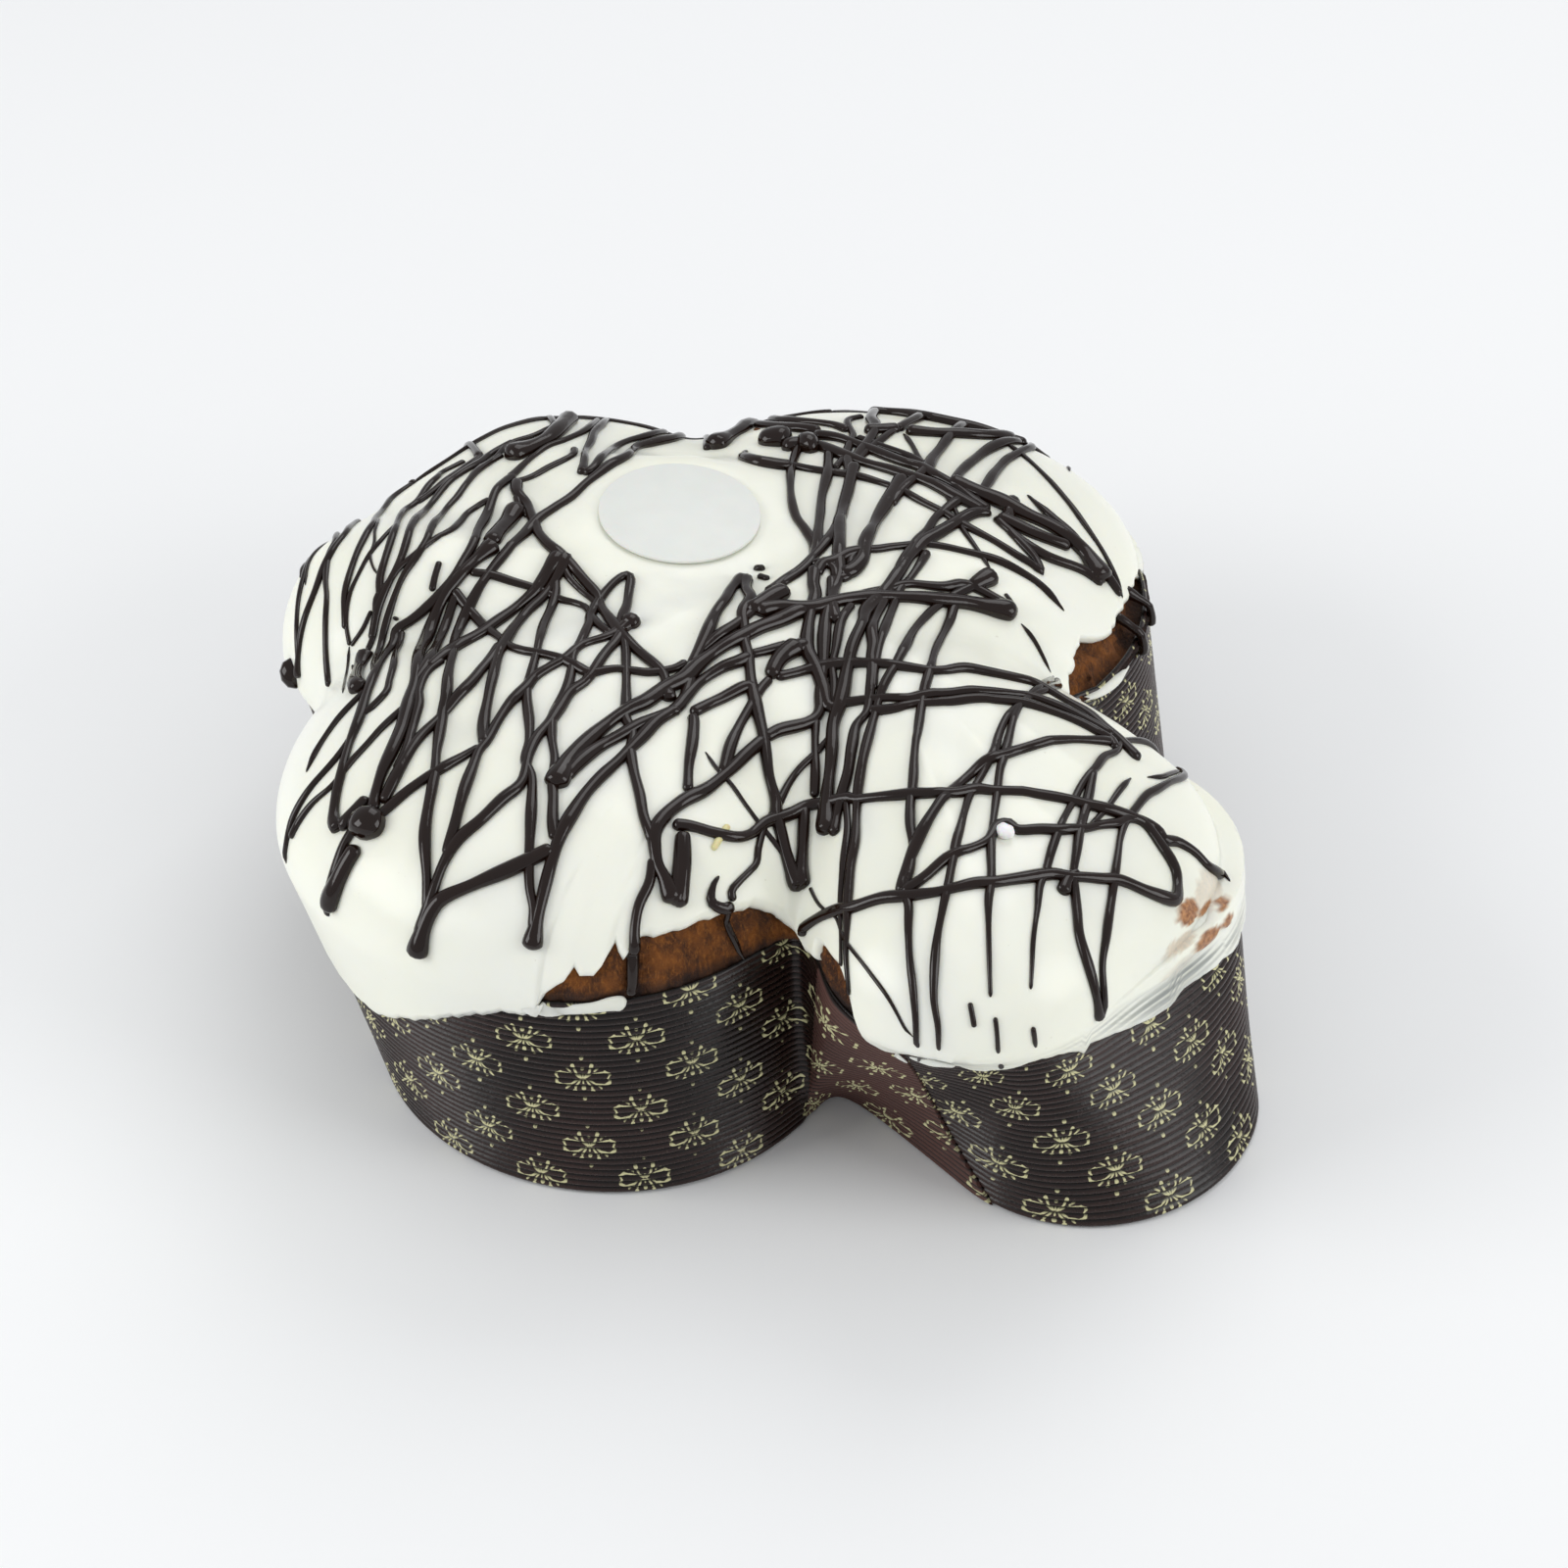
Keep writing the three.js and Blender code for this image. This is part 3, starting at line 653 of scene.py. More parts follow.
# Lower edge of the icing: degrees round the hub, and mm that it runs past the rim, or stops short of it
icingEdge = [
    (0, 14.6), (1, 15.3), (2.5, 16.5), (4, 15), (6, 16), (10, 14), (15, 10), (18, 9), (21, 9.5), (27, 5),
    (32, 0), (36, -9), (40, -16), (43.4, -18), (44.6, -14), (48, -11), (52, -12), (57, -9.5), (61, -7),
    (66, -1), (73, 6), (80, 4.5), (88, 7.5), (95, 5), (101, 10), (106, 6), (114, 5), (122, 8), (129, 4.5),
    (137, 6), (144, 11), (150, 7), (158, 5), (166, 7), (173, 4.5), (181, 8), (190, 6), (197, 9.5), (204, 6),
    (211, 4), (217, 2), (222, 6), (229, 12), (236, 17), (243, 22), (250, 28), (256, 31), (260, 32),
    (263, 31), (264.5, 29), (266, 26.5), (268, 23.5), (270, 21), (272, 17.5), (274, 14.5), (276, 11.5),
    (278, 9.3), (279.5, 7), (283, 5.8), (283.9, 4.5), (284.5, -3), (286.5, -5.8), (287.3, -10), (288, -8.2),
    (289.3, -7.6), (290.2, -9.5), (290.6, -18), (291.4, -14.5), (292.6, -11), (293.4, -17.5), (296, -16.5),
    (300, -17), (303, -16.5), (306, -14.5), (308, -12.5), (310, -9), (311.5, -6.5), (312.2, -3),
    (313.1, -1), (313.7, -3), (314.4, -13), (315, -14.5), (316.4, -12), (317, -6.5), (317.4, 1), (318.3, 6),
    (320, 10), (321, 9), (321.6, 6), (322.5, 5), (324.5, 10), (325.5, 12), (326.3, 9), (327.5, 11.3),
    (329, 11.5), (331, 9.8), (332, 7.8), (333.5, 6.5), (335.5, 6.8), (337, 8), (338, 8.5), (338.8, 10.8),
    (339.3, 8.5), (341, 9.3), (345, 12.3), (348, 13.8), (350.6, 14.3), (352.4, 12.1), (354, 12.3),
    (358, 13.8), (360, 14),
]


def edgeAt(angles):
    degrees = np.degrees(angles) % 360
    known = np.array(icingEdge)
    plain = np.interp(degrees, known[:, 0], known[:, 1])
    uneven = 0.35 * np.sin(degrees * 1.9) + 0.25 * np.sin(degrees * 4.3 + 1)
    return plain + uneven * (1 - 0.85 * bell(nearAngle(degrees, 350), 12))


# Icing's outside with its small unevenness
def iceHeight(x, y):
    flat = np.stack(np.broadcast_arrays(x, y, np.zeros(np.shape(x))), -1).astype(float)
    inside = np.clip((dove["icingOver"] - outline(dove["rimLobes"], x, y)) / 12, 0, 1)
    calm = smooth((np.hypot(x - wafer["at"][0], y - wafer["at"][1]) - wafer["radius"]) / 8)
    relief = 0.4 * lumps(flat, 34, 3) + 0.14 * lumps(flat, 13, 4)
    for dx, dy, spread, depth in icing["dents"]:
        relief = relief - depth * bell(np.hypot(x - dx, y - dy), spread)
    for dx, dy, spread, rise in icing["bumps"]:
        relief = relief + rise * bell(np.hypot(x - dx, y - dy), spread)
    return domeHeight(x, y) + relief * inside * calm


# Outside of the icing from the hub over the rim and down the wall, measured from the rim along each column
class Cover:
    def __init__(self, angles, height):
        self.walls = Wall(angles)
        self.brim = ringOf(dove["rimLobes"], angles, dove["icingOver"])
        hub = np.array(dove["hub"])
        rows = []
        for share in 1 - (1 - np.linspace(0, 1, 220)) ** 1.8:
            plan = hub + (self.brim - hub) * share
            rows.append(np.column_stack([plan, height(plan[:, 0], plan[:, 1])]))
        self.rimRow = len(rows) - 1
        outwards = np.column_stack([self.brim - self.walls.rim, np.zeros(len(angles))])
        for z in np.arange(71.0, 30.0, -1.0):
            rows.append(self.walls.at(z, 0) + outwards)
        self.grid = np.array(rows)
        steps = np.linalg.norm(np.diff(self.grid, axis=0), axis=2)
        self.length = np.vstack([np.zeros(len(angles)), np.cumsum(steps, 0)])
        self.length = self.length - self.length[self.rimRow]

    def at(self, past):
        out = np.empty(past.shape + (3,))
        for i in range(past.shape[1]):
            for k in range(3):
                out[:, i, k] = np.interp(past[:, i], self.length[:, i], self.grid[:, i, k])
        return out


def normalsOfGrid(grid):
    down = np.gradient(grid, axis=0)
    around = np.roll(grid, -1, 1) - np.roll(grid, 1, 1)
    out = np.cross(down, around)
    return out / np.maximum(np.linalg.norm(out, axis=2, keepdims=True), 1e-9)


def makeIcingCoat():
    angles = columnAngles(icing["columns"])
    degrees = np.degrees(angles)
    cover = Cover(angles, iceHeight)
    end, start = edgeAt(angles), cover.length[0]
    thin, tall = np.zeros(len(angles)), np.full(len(angles), 3.0)
    for at, spread, height in icing["thinAt"]:
        here = bell(nearAngle(degrees, at), spread)
        tall = np.where(here > thin, height, tall)
        thin = np.maximum(thin, here)
    lip = np.where(end < 0, icing["lip"], icing["lip"] * (1 - 0.5 * thin))
    coarse, fine = icing["rings"]
    knee = end - lip - icing["fine"]
    body = start + (knee - start) * np.linspace(0.012, 1, coarse, endpoint=False)[:, None]
    body = np.vstack([body, knee + icing["fine"] * np.linspace(0, 1, fine)[:, None]])
    turn = np.linspace(0, math.pi / 2, 9)[1:, None]
    past = np.vstack([body, end - lip + lip * np.sin(turn)])
    grid = cover.at(past)
    out = normalsOfGrid(grid)
    # A film over the paper lies close to its flutes
    onWall = smooth(past / 5) * thin * smooth((past - end + tall) / 3)
    flutes = ribs(grid[..., 2], cover.walls.along[:-1])
    grid = grid - out * (onWall * icing["filmSunk"] - onWall * flutes * icing["filmFlutes"])[..., None]
    thick = dove["icingThick"] * (1 - icing["filmThin"] * thin * smooth(end / 5))
    lower = np.vstack([np.zeros_like(body), thick * (1 - np.cos(turn))])
    grid = grid - out * lower[..., None]
    back = end - lip * 0.2 - np.array(icing["backRows"])[:, None]
    back = np.vstack([back, start + (back[-1] - start) * np.array(icing["backShares"])[:, None]])
    under = cover.at(back)
    # The rows of the inner face run inwards, so its normals do too
    under = under + normalsOfGrid(under) * thick[None, :, None]
    hub = np.array([*dove["hub"], iceHeight(*dove["hub"])])
    # Crests of the flutes show as soft streaks halfway down the film
    crests = flutes / wall["ribDepth"] + 0.3 * lumps(grid * [0.3, 0.3, 1], 7, 11)
    film = onWall * bell(past - end + tall * 0.45, tall * 0.22) * smooth((crests + 0.15) / 0.55)
    film = film * icing["filmStreaks"]
    crumbs = np.zeros(past.shape)
    rough = 0.3 * lumps(grid, 2.6, 12)
    for at, down, long, high, share in icing["crumbs"]:
        around = nearAngle(degrees, at) * icing["crumbPerDegree"]
        away = np.hypot(around / long, (past - down) / high) / 1.15 + rough / high
        crumbs = np.maximum(crumbs, share * smooth((1 - away) * high / 0.8 + 0.5))
    grid = grid + out * (crumbs * (icing["crumbRise"] + 0.5 * rough))[..., None]
    points, faces = skin(np.vstack([grid, under])[::-1], hub - [0, 0, dove["icingThick"]], hub)
    hidden = np.zeros(back.shape)
    values = {
        "paperShow": [0, *np.ravel(np.vstack([film, hidden])[::-1]), 0],
        "crustShow": [0, *np.ravel(np.vstack([crumbs, hidden])[::-1]), 0],
    }
    return addPiece("icing_coat", points, faces, icingWhite, "icing", ["icing"], values)


makeIcingCoat()

crust = {
    "columns": 420,
    "rings": (24, 46),  # on the top, and closer ones near the rim
    "deep": 2.9,  # mm under the icing's outside
    "inset": 1.4,  # mm inside the wall
    "sideHeights": (71, 66, 55, 40, 25, 10, 1.35),
    "pleat": 5.5,  # mm between the folds that the flutes leave
    "shadeNear": 316,  # degrees of the near and far notch, where shade is painted darker on the loaf
    "shadeFar": 56,
}


# Loaf: crust under the icing down to its rim, then plain sides and base inside the case
def makeLoaf():
    angles = columnAngles(crust["columns"])
    degrees = np.degrees(angles)
    cover = Cover(angles, domeHeight)
    start = cover.length[0]
    coarse, fine = crust["rings"]
    shares = np.concatenate([np.linspace(0.03, 0.8, coarse), np.linspace(0.81, 1, fine)])
    past = start + (-1.0 - start) * shares[:, None]
    grid = cover.at(past)
    out = normalsOfGrid(grid)
    around = cover.walls.along[:-1] * np.ones_like(past)
    flat = np.stack([around, grid[..., 2] * 0.22, np.zeros_like(past)], -1)
    pleats = lumps(flat, crust["pleat"], 21)
    grain = lumps(grid, 2.6, 22)
    shown = smooth((past + 30) / 10)
    swell = 0.7 * lumps(grid, 24, 23) + 0.6 * pleats + 0.3 * grain
    grid = grid - out * (crust["deep"] - swell * shown)[..., None]
    sides = [cover.walls.at(z, -crust["inset"]) for z in crust["sideHeights"]]
    hub = np.array([*dove["hub"], domeHeight(*dove["hub"]) - crust["deep"]])
    foot = [*dove["hub"], crust["sideHeights"][-1]]
    points, faces = skin(np.vstack([grid, sides])[::-1], foot, hub)
    # Painted shade: darker in the folds between the pleats, in the last mm before the rim and near the
    # notches; the sides inside the case are fully shaded
    crustShade = np.clip(-0.5 * pleats - 0.25, 0, 1) * 0.8 + 0.75 * smooth((past + 4) / 4)
    dark = (nearAngle(degrees, crust["shadeNear"]) < 3) * 0.5 + bell(nearAngle(degrees, crust["shadeFar"]), 9)
    crustShade = np.clip(crustShade + dark * smooth((past + 9) / 6), 0, 1)
    values = {"crustShade": [0, *np.ravel(np.vstack([crustShade, np.ones((len(sides), len(angles)))])[::-1]), 0]}
    return addPiece("loaf_crust", points, faces, crustBrown, "crust", ["loaf"], values)


makeLoaf()

# Drizzle strokes: width in mm, both ends (b blob, r round, t thin, l long taper),
# and x, y of the points that the stroke passes in plan
strokes = [
    # down the head, from the far wing to the near edge
    (3.8, "rb", (17.2, 69.5, 15, 66, 14.2, 61, 14.4, 53, 14, 43, 15.5, 35, 18, 26, 19.6, 20, 21, 12, 22.5,
        6, 26, 0, 29.7, -9, 33.4, -16, 37.8, -24, 40.7, -30.6, 43, -34.3, 47.3, -40, 51.7, -46.7, 56, -53.3,
        61, -60)),
    (3.0, "rb", (8, 68, 8.9, 56, 11.5, 47.5, 12.8, 40, 16.4, 30, 20, 21, 22.5, 14, 26, 6, 30, -1, 33.5, -5,
        36, -9, 39.3, -13, 43.7, -19.6, 46.6, -24.7, 47.3, -30, 51, -36.5, 55.4, -43.8, 59, -52, 63.3,
        -60)),
    (2.6, "rr", (17, 40.5, 20, 31.7, 21.6, 25.5, 22.5, 20.3, 26, 13.2, 30.4, 4.4, 34, -2.6, 37, -8, 40, -13,
        43.5, -18)),
    (2.7, "bl", (34.4, 47.5, 33.5, 42, 33, 38, 32.5, 33, 32.2, 27, 33.1, 19.4, 35.7, 9.7, 40, 0, 42.9, -8,
        45.1, -16, 48.8, -24, 54.7, -35.7, 60.5, -46, 65, -52.6, 70.8, -60.7, 74.5, -67.3, 80.3, -76, 84.7,
        -82, 89, -88, 94.3, -93.7)),
    (4.2, "br", (34.5, 47.5, 33.5, 42, 33, 38)),
    (2.1, "rl", (60, -50.5, 66.6, -58.4, 72, -67, 78.2, -76.2, 84, -83.7, 89, -90)),
    (2.6, "br", (46, 41.8, 39.2, 35, 34.8, 30, 37.5, 23, 42, 13, 46.3, 4.4, 50, -2, 54, -10, 56.5, -14.5,
        60.5, -21, 66.4, -30.6, 73, -40, 76.8, -46, 81.6, -52.5, 86.5, -58, 90.3, -63.7, 92.3, -68.3, 93.6,
        -71.7)),
    (2.2, "rl", (93.6, -71.7, 97, -73.6, 101.6, -79.6, 106.2, -85, 110.8, -89.5, 115.4, -94.2, 116.8, -97.5,
        117.6, -104)),
    (2.3, "tl", (62, 37, 65.6, 30, 69.2, 22.7, 72, 16, 73.5, 9.5, 75, 3, 77.5, -3, 81, -10, 84.5, -17, 87.5,
        -23, 90.5, -28, 95, -35.5, 99, -42, 103, -48, 109, -56, 113, -62.5, 117.5, -68.5, 122.7, -75, 126.6,
        -79.6)),
    (2.3, "rr", (63, 37, 67.5, 31, 71, 24, 73.5, 17, 74, 10, 75, 3)),
    (2.3, "rl", (75, 3, 76.5, -5, 79, -12, 82, -18, 84, -25, 86.5, -34, 89.7, -40.7, 93, -47, 96.5, -54, 99,
        -58.5, 102.2, -64.4, 105.5, -71, 110, -79.6, 115.4, -87.5, 120, -91.4, 123.4, -97.5)),
    (3.0, "rr", (97.6, 12, 95, 7, 91.7, -0.4, 88.4, -8.3, 85.7, -13.6, 84, -19, 82.3, -23, 82, -29, 82.4,
        -35, 83.4, -41, 84.7, -47, 86.4, -54.5, 88.4, -61, 91, -67.7, 93, -71.7)),
    (2.2, "rl", (97.6, 16.7, 100.6, 10, 101, 4, 103, -3, 104.2, -10.3, 106.2, -17, 108.2, -22.8, 110.8, -30,
        113.4, -36.7, 116, -42.6, 118, -48, 122, -54.5, 126.6, -62.4, 130.6, -68.3, 132.6, -71.3)),
    (2.6, "tb", (101.6, 0.3, 104.2, -5.7, 107.5, -12.3, 110.8, -19, 114, -25.5, 117.4, -31.4, 120.7, -37.3,
        124, -41.3, 128, -46, 132.6, -51.2, 137.8, -54.5, 142.5, -56.5, 145, -56)),
    (2.3, "tr", (104, 32, 110, 28, 112.4, 23.3, 114, 14.8, 114.7, 8.8, 115, 3, 116.7, -5, 118, -11, 120.7,
        -17, 124, -22.8, 128, -30, 132, -37.3, 136, -44.6, 139.2, -50.5, 143, -54.5, 145, -56)),
    (1.6, "tt", (109.5, 27.3, 110.8, 21.4, 111.8, 14.8, 110.8, 9.5)),
    (1.6, "tt", (109.5, 4, 110.8, -3, 112.8, -11.6, 114, -19.5, 114.7, -24.2)),
    (3.0, "rb", (121.5, -36, 121, -40, 122.7, -45)),
    (1.0, "rt", (66, -73, 71.2, -76.3, 75.2, -78.2, 79.8, -80.2, 85.7, -84.8, 91, -87.5, 97.6, -90, 104.2,
        -92, 110.8, -93.8, 114, -93.8)),
    (1.3, "rr", (123.3, -83.5, 126.3, -85.5)),
    (1.4, "rr", (129.3, -81.2, 134.5, -84.9, 139.8, -87.5)),
    (1.4, "rr", (136.2, -75, 143.8, -77.6)),
    # waves over the head
    (3.3, "rr", (71.5, -82, 70.4, -80.8, 75, -79.3, 79.6, -78.3, 84, -77.5, 89.9, -74.2, 93.6, -72.6, 98,
        -70.3, 103, -66.4, 107.5, -60.4, 110.8, -56.5, 114, -50, 117.4, -42.6, 121.3, -38.7, 125.3, -33.4,
        128.6, -28.8, 134, -24.8, 137.8, -20.2, 138.2, -17, 135.2, -12.3, 132.6, -9.6, 127.3, -7.7, 121.3,
        -6, 118, -7.7, 114.7, -11, 110, -15, 105.5, -18.2, 100.2, -22.2, 95, -26, 90.3, -29.4, 86.4, -32,
        83.7, -38, 80.5, -41.3, 75.2, -44, 69.2, -47.2, 63.3, -49.6, 60, -49.8, 55.4, -52, 51, -54.8, 49.5,
        -60, 48, -68, 48.4, -75.3, 47.3, -79.7, 43.7, -83.4, 38.5, -87, 35.6, -90)),
    (3.0, "rr", (93.6, -71.7, 95.6, -65.7, 97, -57.8, 99.6, -52, 100.6, -46, 99, -40, 100.2, -37, 103.5,
        -37.3, 107.5, -33.4, 111.4, -29.4, 114, -24.2, 115.4, -19, 117.4, -13.6, 117.7, -9, 120, -5.7,
        123.3, -4, 126, -5, 128, -1.7, 132, 0.3, 135.2, 1.6, 136.2, 5, 135.5, 8.5)),
    (1.8, "rt", (135.5, 8.5, 137.5, 7.8, 139.5, 6.8)),
    # sweeps that cross the middle
    (4.4, "bb", (46, 41.8, 37, 33.5, 30, 25, 22.5, 16.5, 16.5, 8, 11.5, -3, 5, -9, 2, -15)),
    (3.0, "rr", (46, 42, 35, 39.6, 31, 37, 28.7, 31.7, 22.5, 24.7, 20, 18.5, 17.7, 14, 14.6, 6.2)),
    (3.2, "rr", (21, -30, 25, -21, 28.3, -16.7, 32, -13.7, 37, -10.8, 43, -8, 48, -5.7, 53, -2, 56, 4, 60,
        8, 66, 13, 70.6, 16.7, 79.8, 17.7, 86.4, 17.7, 92.3, 16.4, 97.6, 16, 105, 14)),
    (3.0, "rr", (36.3, -27, 40, -24, 44, -21, 48, -18.5, 52.5, -16, 55.5, -12, 60, -7.5, 63, -4, 67.3, 1,
        71, 5.5, 74, 9, 80, 11.5, 86, 13.4, 92, 14.8, 96, 15.4)),
    (3.0, "rr", (46.5, -24, 49.5, -22.5, 53, -19.5, 56, -15.2, 61, -10.8, 66, -5, 69.2, -1.7, 73, 2.2, 76.5,
        5, 82.4, 8.2, 88.4, 10.8, 93.6, 12, 97, 12.8, 100, 10.5)),
    (2.4, "rt", (12.8, 41, 17.2, 44.5, 22.5, 48, 29.6, 51.5, 36.6, 54.6, 43.6, 56, 52.4, 55)),
    (1.2, "tt", (48.5, 40.5, 54.2, 39.6, 61.2, 37)),
    (1.2, "rr", (40.1, 44.5, 43.2, 43.6)),
    (2.2, "rr", (-14, 4.5, -11.5, 6.5)),
    (2.0, "rr", (-10.5, 2.2, -6.5, 1.8)),
    # middle
    (3.5, "br", (-12.8, -1, -10.6, -8.6, -7.7, -15.2, -5.5, -21.8, -1.8, -30, 1, -37.2, 3.3, -43, 6.3,
        -47.5, 9.2, -53.3, 10.7, -57)),
    (3.3, "bb", (-12.5, -1, -7, -7, -2.5, -11, 0, -17.4, 4, -21.8, 7.7, -26.2, 12, -30, 17.3, -35.7, 23,
        -41, 32, -49, 39.3, -56.3, 45, -60.7, 48, -64.3, 51, -66.5, 56, -70.2, 60.5, -72.8, 64, -74.2)),
    (4.4, "rb", (10.7, -4, 7.7, -15.2, 6.3, -21, 5.5, -27, 4.4, -34.3, 4, -41.6, 4.4, -47.5, 3.3, -53.3,
        3.3, -60.7, 1.9, -66.5, 1.1, -75.3, 1.5, -82.7, 2.6, -90, 4.8, -97, 6.2, -100.5)),
    (3.5, "rb", (12, -29, 11, -33, 9, -38, 8, -45, 9, -52, 10.3, -58, 10, -65, 10.8, -71, 11.4, -76, 12.1,
        -83, 12.5, -90, 13.6, -97, 15.8, -106, 18, -113, 22, -122, 26.3, -131.8, 27.5, -134.9)),
    (3.7, "rr", (11, -57, 9.5, -62, 7.5, -68, 6.3, -75, 5, -82, 5.2, -90, 6.3, -97)),
    (2.2, "rr", (3.3, -69.5, 8.5, -72.4, 11, -76)),
    (4.6, "br", (18, -16, 17.3, -21, 18, -26, 20.2, -31.3)),
    (3.0, "rr", (20.2, -31.3, 21, -36.5, 23, -43, 25.3, -50.4, 28.3, -57.7, 31.5, -64, 33, -67)),
    (3.3, "rr", (20.5, -37, 18, -38, 16.5, -43, 15, -49.7, 14.3, -56.3)),
    (2.9, "rr", (16, -18, 13.5, -24, 11.4, -29)),
    (3.1, "rr", (14.5, -57, 16.5, -58, 21.7, -65, 26, -71.7, 31.2, -78.5)),
    (3.1, "rr", (11.5, -77.5, 18, -83.4, 24, -88.5, 29.7, -93.7, 35.6, -97.3)),
    (3.4, "rr", (6.5, 12.1, 10.5, 7, 14, 2, 15.8, -2, 20.2, -8.6, 24.6, -14.5, 27.2, -18, 32, -25.5, 35.6,
        -30.6, 35.6, -35.7, 32.7, -43, 32, -49)),
    (3.7, "rb", (32, -49, 32.7, -58, 33.4, -66.5, 33.4, -75.3, 32.5, -82.7, 32.7, -90, 34, -95, 37, -98.5,
        40, -101, 43.7, -102.5, 48, -104.7)),
    (3.1, "rb", (38.5, -90, 42.9, -96.6, 46.6, -101.7, 48.6, -104.7)),
    (2.9, "rr", (38, -100.5, 41, -105.5, 42.5, -111.4, 44.7, -115.8, 47, -118.7, 49, -121.5, 51, -124.5)),
    (3.8, "rr", (1, 12, 5, 6.2, 8.4, 2.6, 11, -2, 15.8, -10, 20.2, -16, 26, -19.6, 32, -24, 36.3, -27.7, 39,
        -26)),
    (2.6, "rr", (18, 6, 20, 0, 21.7, -4, 26, -11, 29, -16.5, 33, -21, 37, -26.5)),
    (3.1, "rb", (50.5, -55.5, 54.7, -61.4, 59, -67.3, 62.7, -72.4, 64, -74)),
    (1.3, "tt", (25.7, -64.7, 30.5, -66.5, 36.3, -67.3, 42.2, -69, 48, -70.2, 54.7, -70.6, 60, -71.7)),
    (2.1, "rr", (41.5, -31, 43, -35, 43.3, -40, 43, -47.5, 43.7, -53.3, 46, -60.7, 48, -67.3, 48.8, -70.2,
        51.7, -76, 54.3, -80.5, 54.7, -87, 55, -90.7, 56.5, -92)),
    (2.5, "rr", (36.3, -32.8, 40.7, -38.7, 46, -45.3, 51, -52)),
    (3.5, "tr", (51.3, -91, 51.8, -94, 53.5, -97, 56, -95.5, 57, -92.5)),
    (1.9, "rt", (56.5, -94.5, 60, -95.6, 64, -94.5)),
    (2.9, "rr", (-1.2, 8, -1.2, 0, 0, -6, 0.8, -11, 1.5, -17, 1.5, -23, 1.1, -30, 1.1, -37)),
    # far wing, along and across
    (4.1, "rr", (-10.5, 66, -6.7, 55.5, -2.8, 45, 0.8, 37, 4, 30, 6.3, 26.5, 8.6, 22, 9, 17, 7.5, 13.9)),
    (3.6, "rr", (6.1, 26.5, 4, 22, 3.2, 17, 1.8, 14, 3.5, 9.4)),
    (3.1, "rr", (-31, 67.6, -20.4, 54.9, -12.5, 42.2, -6.8, 31, -3.5, 20.8, -2.1, 7.1, -1.5, -5.5)),
    (5.8, "rr", (0.8, -16.5, 1.2, -12.4, 1.6, -5.9, 2.2, -1)),
    (4.8, "rr", (19.5, -14, 17.8, -19, 17.6, -24)),
    (3.9, "rb", (38.6, -89.5, 44.5, -96.8, 49.3, -104.4)),
    (3.7, "rr", (-25, 63, -23.2, 59.8, -18, 51, -12.7, 41.3, -7.4, 33.4, -1.2, 25.5, 3.2, 19.4, 7.6, 14, 11,
        7, 15.5, 1, 20, -3.5)),
    (3.0, "rr", (-35.5, 65, -30.3, 58, -26.8, 53, -21.5, 44, -15.3, 35.2, -9.2, 26.4, -4.8, 20.3, -2, 14,
        -1.2, 8, -1.2, 0)),
    (2.6, "rr", (-46, 65, -40, 54.5, -34.7, 46.7, -26.8, 37, -19.7, 30, -12.7, 25.5, -7.4, 22, -3.5, 17)),
    (2.8, "rr", (12.8, 40, 8.4, 31, 5.8, 26.4, 6, 21, 9.3, 16.7, 8.4, 12.3, 5, 15, 1.4, 15, -1, 13)),
    (5.0, "rb", (0, 73, 10, 74, 17, 75.8, 24, 77.2, 32, 79.5, 40, 80.3, 46, 78.3, 50, 76)),
    (3.1, "rr", (50.5, 75.7, 45.4, 74, 40, 69.6, 35.7, 67, 30.4, 66, 24.3, 67, 19, 68.7)),
    (4.4, "rr", (19, 69.5, 24, 70.3, 29, 71.5, 34, 74, 38, 77.5)),
    (3.0, "tr", (17.5, 86, 21.7, 84.6, 28.7, 82.8, 34.8, 82.5, 42, 81, 49, 79.8, 54.5, 78.8)),
    (3.6, "br", (17.2, 81, 18, 76.7, 20.8, 72.3, 20.5, 68.5)),
    (1.7, "tt", (-5.6, 107, 1.4, 105, 10.2, 102, 20.8, 97, 31.3, 91.7, 42, 87.3, 49, 83.4, 55, 79.4)),
    (3.3, "rr", (-7, 115, -5, 112, -5, 105, -4.7, 97, -3, 88, -1, 80, 1.2, 74)),
    (2.9, "rr", (-4, 117.5, -0.6, 112.8, 1.2, 105, 2.3, 97, 5, 88, 7.6, 81, 10.2, 74, 11, 71)),
    (3.4, "rr", (-23, 112, -19.5, 104, -17, 97, -14, 88.5, -11.5, 81, -8.5, 74, -7.2, 66, -6.2, 59.5, -4,
        52)),
    (3.6, "rr", (-46, 71, -44.4, 72.4, -39, 74, -33, 74, -25, 73.6, -16.2, 73, -10, 74, -4, 72.7, 3.2, 71.8,
        10.2, 70, 16.4, 69.6)),
    (3.8, "br", (-49, 61, -45.2, 66, -39, 67, -30.3, 66, -22.4, 66, -14.4, 67, -7.4, 67.8, 0, 67.8, 7.6,
        67.4, 15.5, 68.2)),
    (2.6, "rr", (-40, 52.8, -33, 53.7, -26.8, 56, -22.4, 58, -16.2, 59.4, -9.2, 60.3, 0, 59, 8.4, 58.8,
        17.2, 58, 26, 58.8, 32.2, 59.4, 37.5, 60.8, 40.3, 60.8, 36.6, 63.4, 31.3, 64.8, 25, 66.7)),
    (2.4, "rr", (-35.5, 78, -28.5, 77.5, -19.7, 78, -12.7, 77, -8, 75)),
    (4.8, "bb", (-57.4, 61, -53.5, 64.5, -49.5, 66.1)),
    (4.8, "bb", (-44.5, 62.9, -43, 65.5, -40.9, 68.2)),
    (4.4, "tr", (-57, 55.5, -55, 51, -50.5, 47.7, -45.5, 46.2, -41.5, 48.5, -38, 52.5)),
    (3.0, "rr", (-70, 83, -64, 79.5, -56, 78.8, -50, 79.5, -45, 80.5, -40, 80)),
    (3.2, "rr", (-70, 76, -63, 73.8, -55, 73, -50, 73.8, -46, 75)),
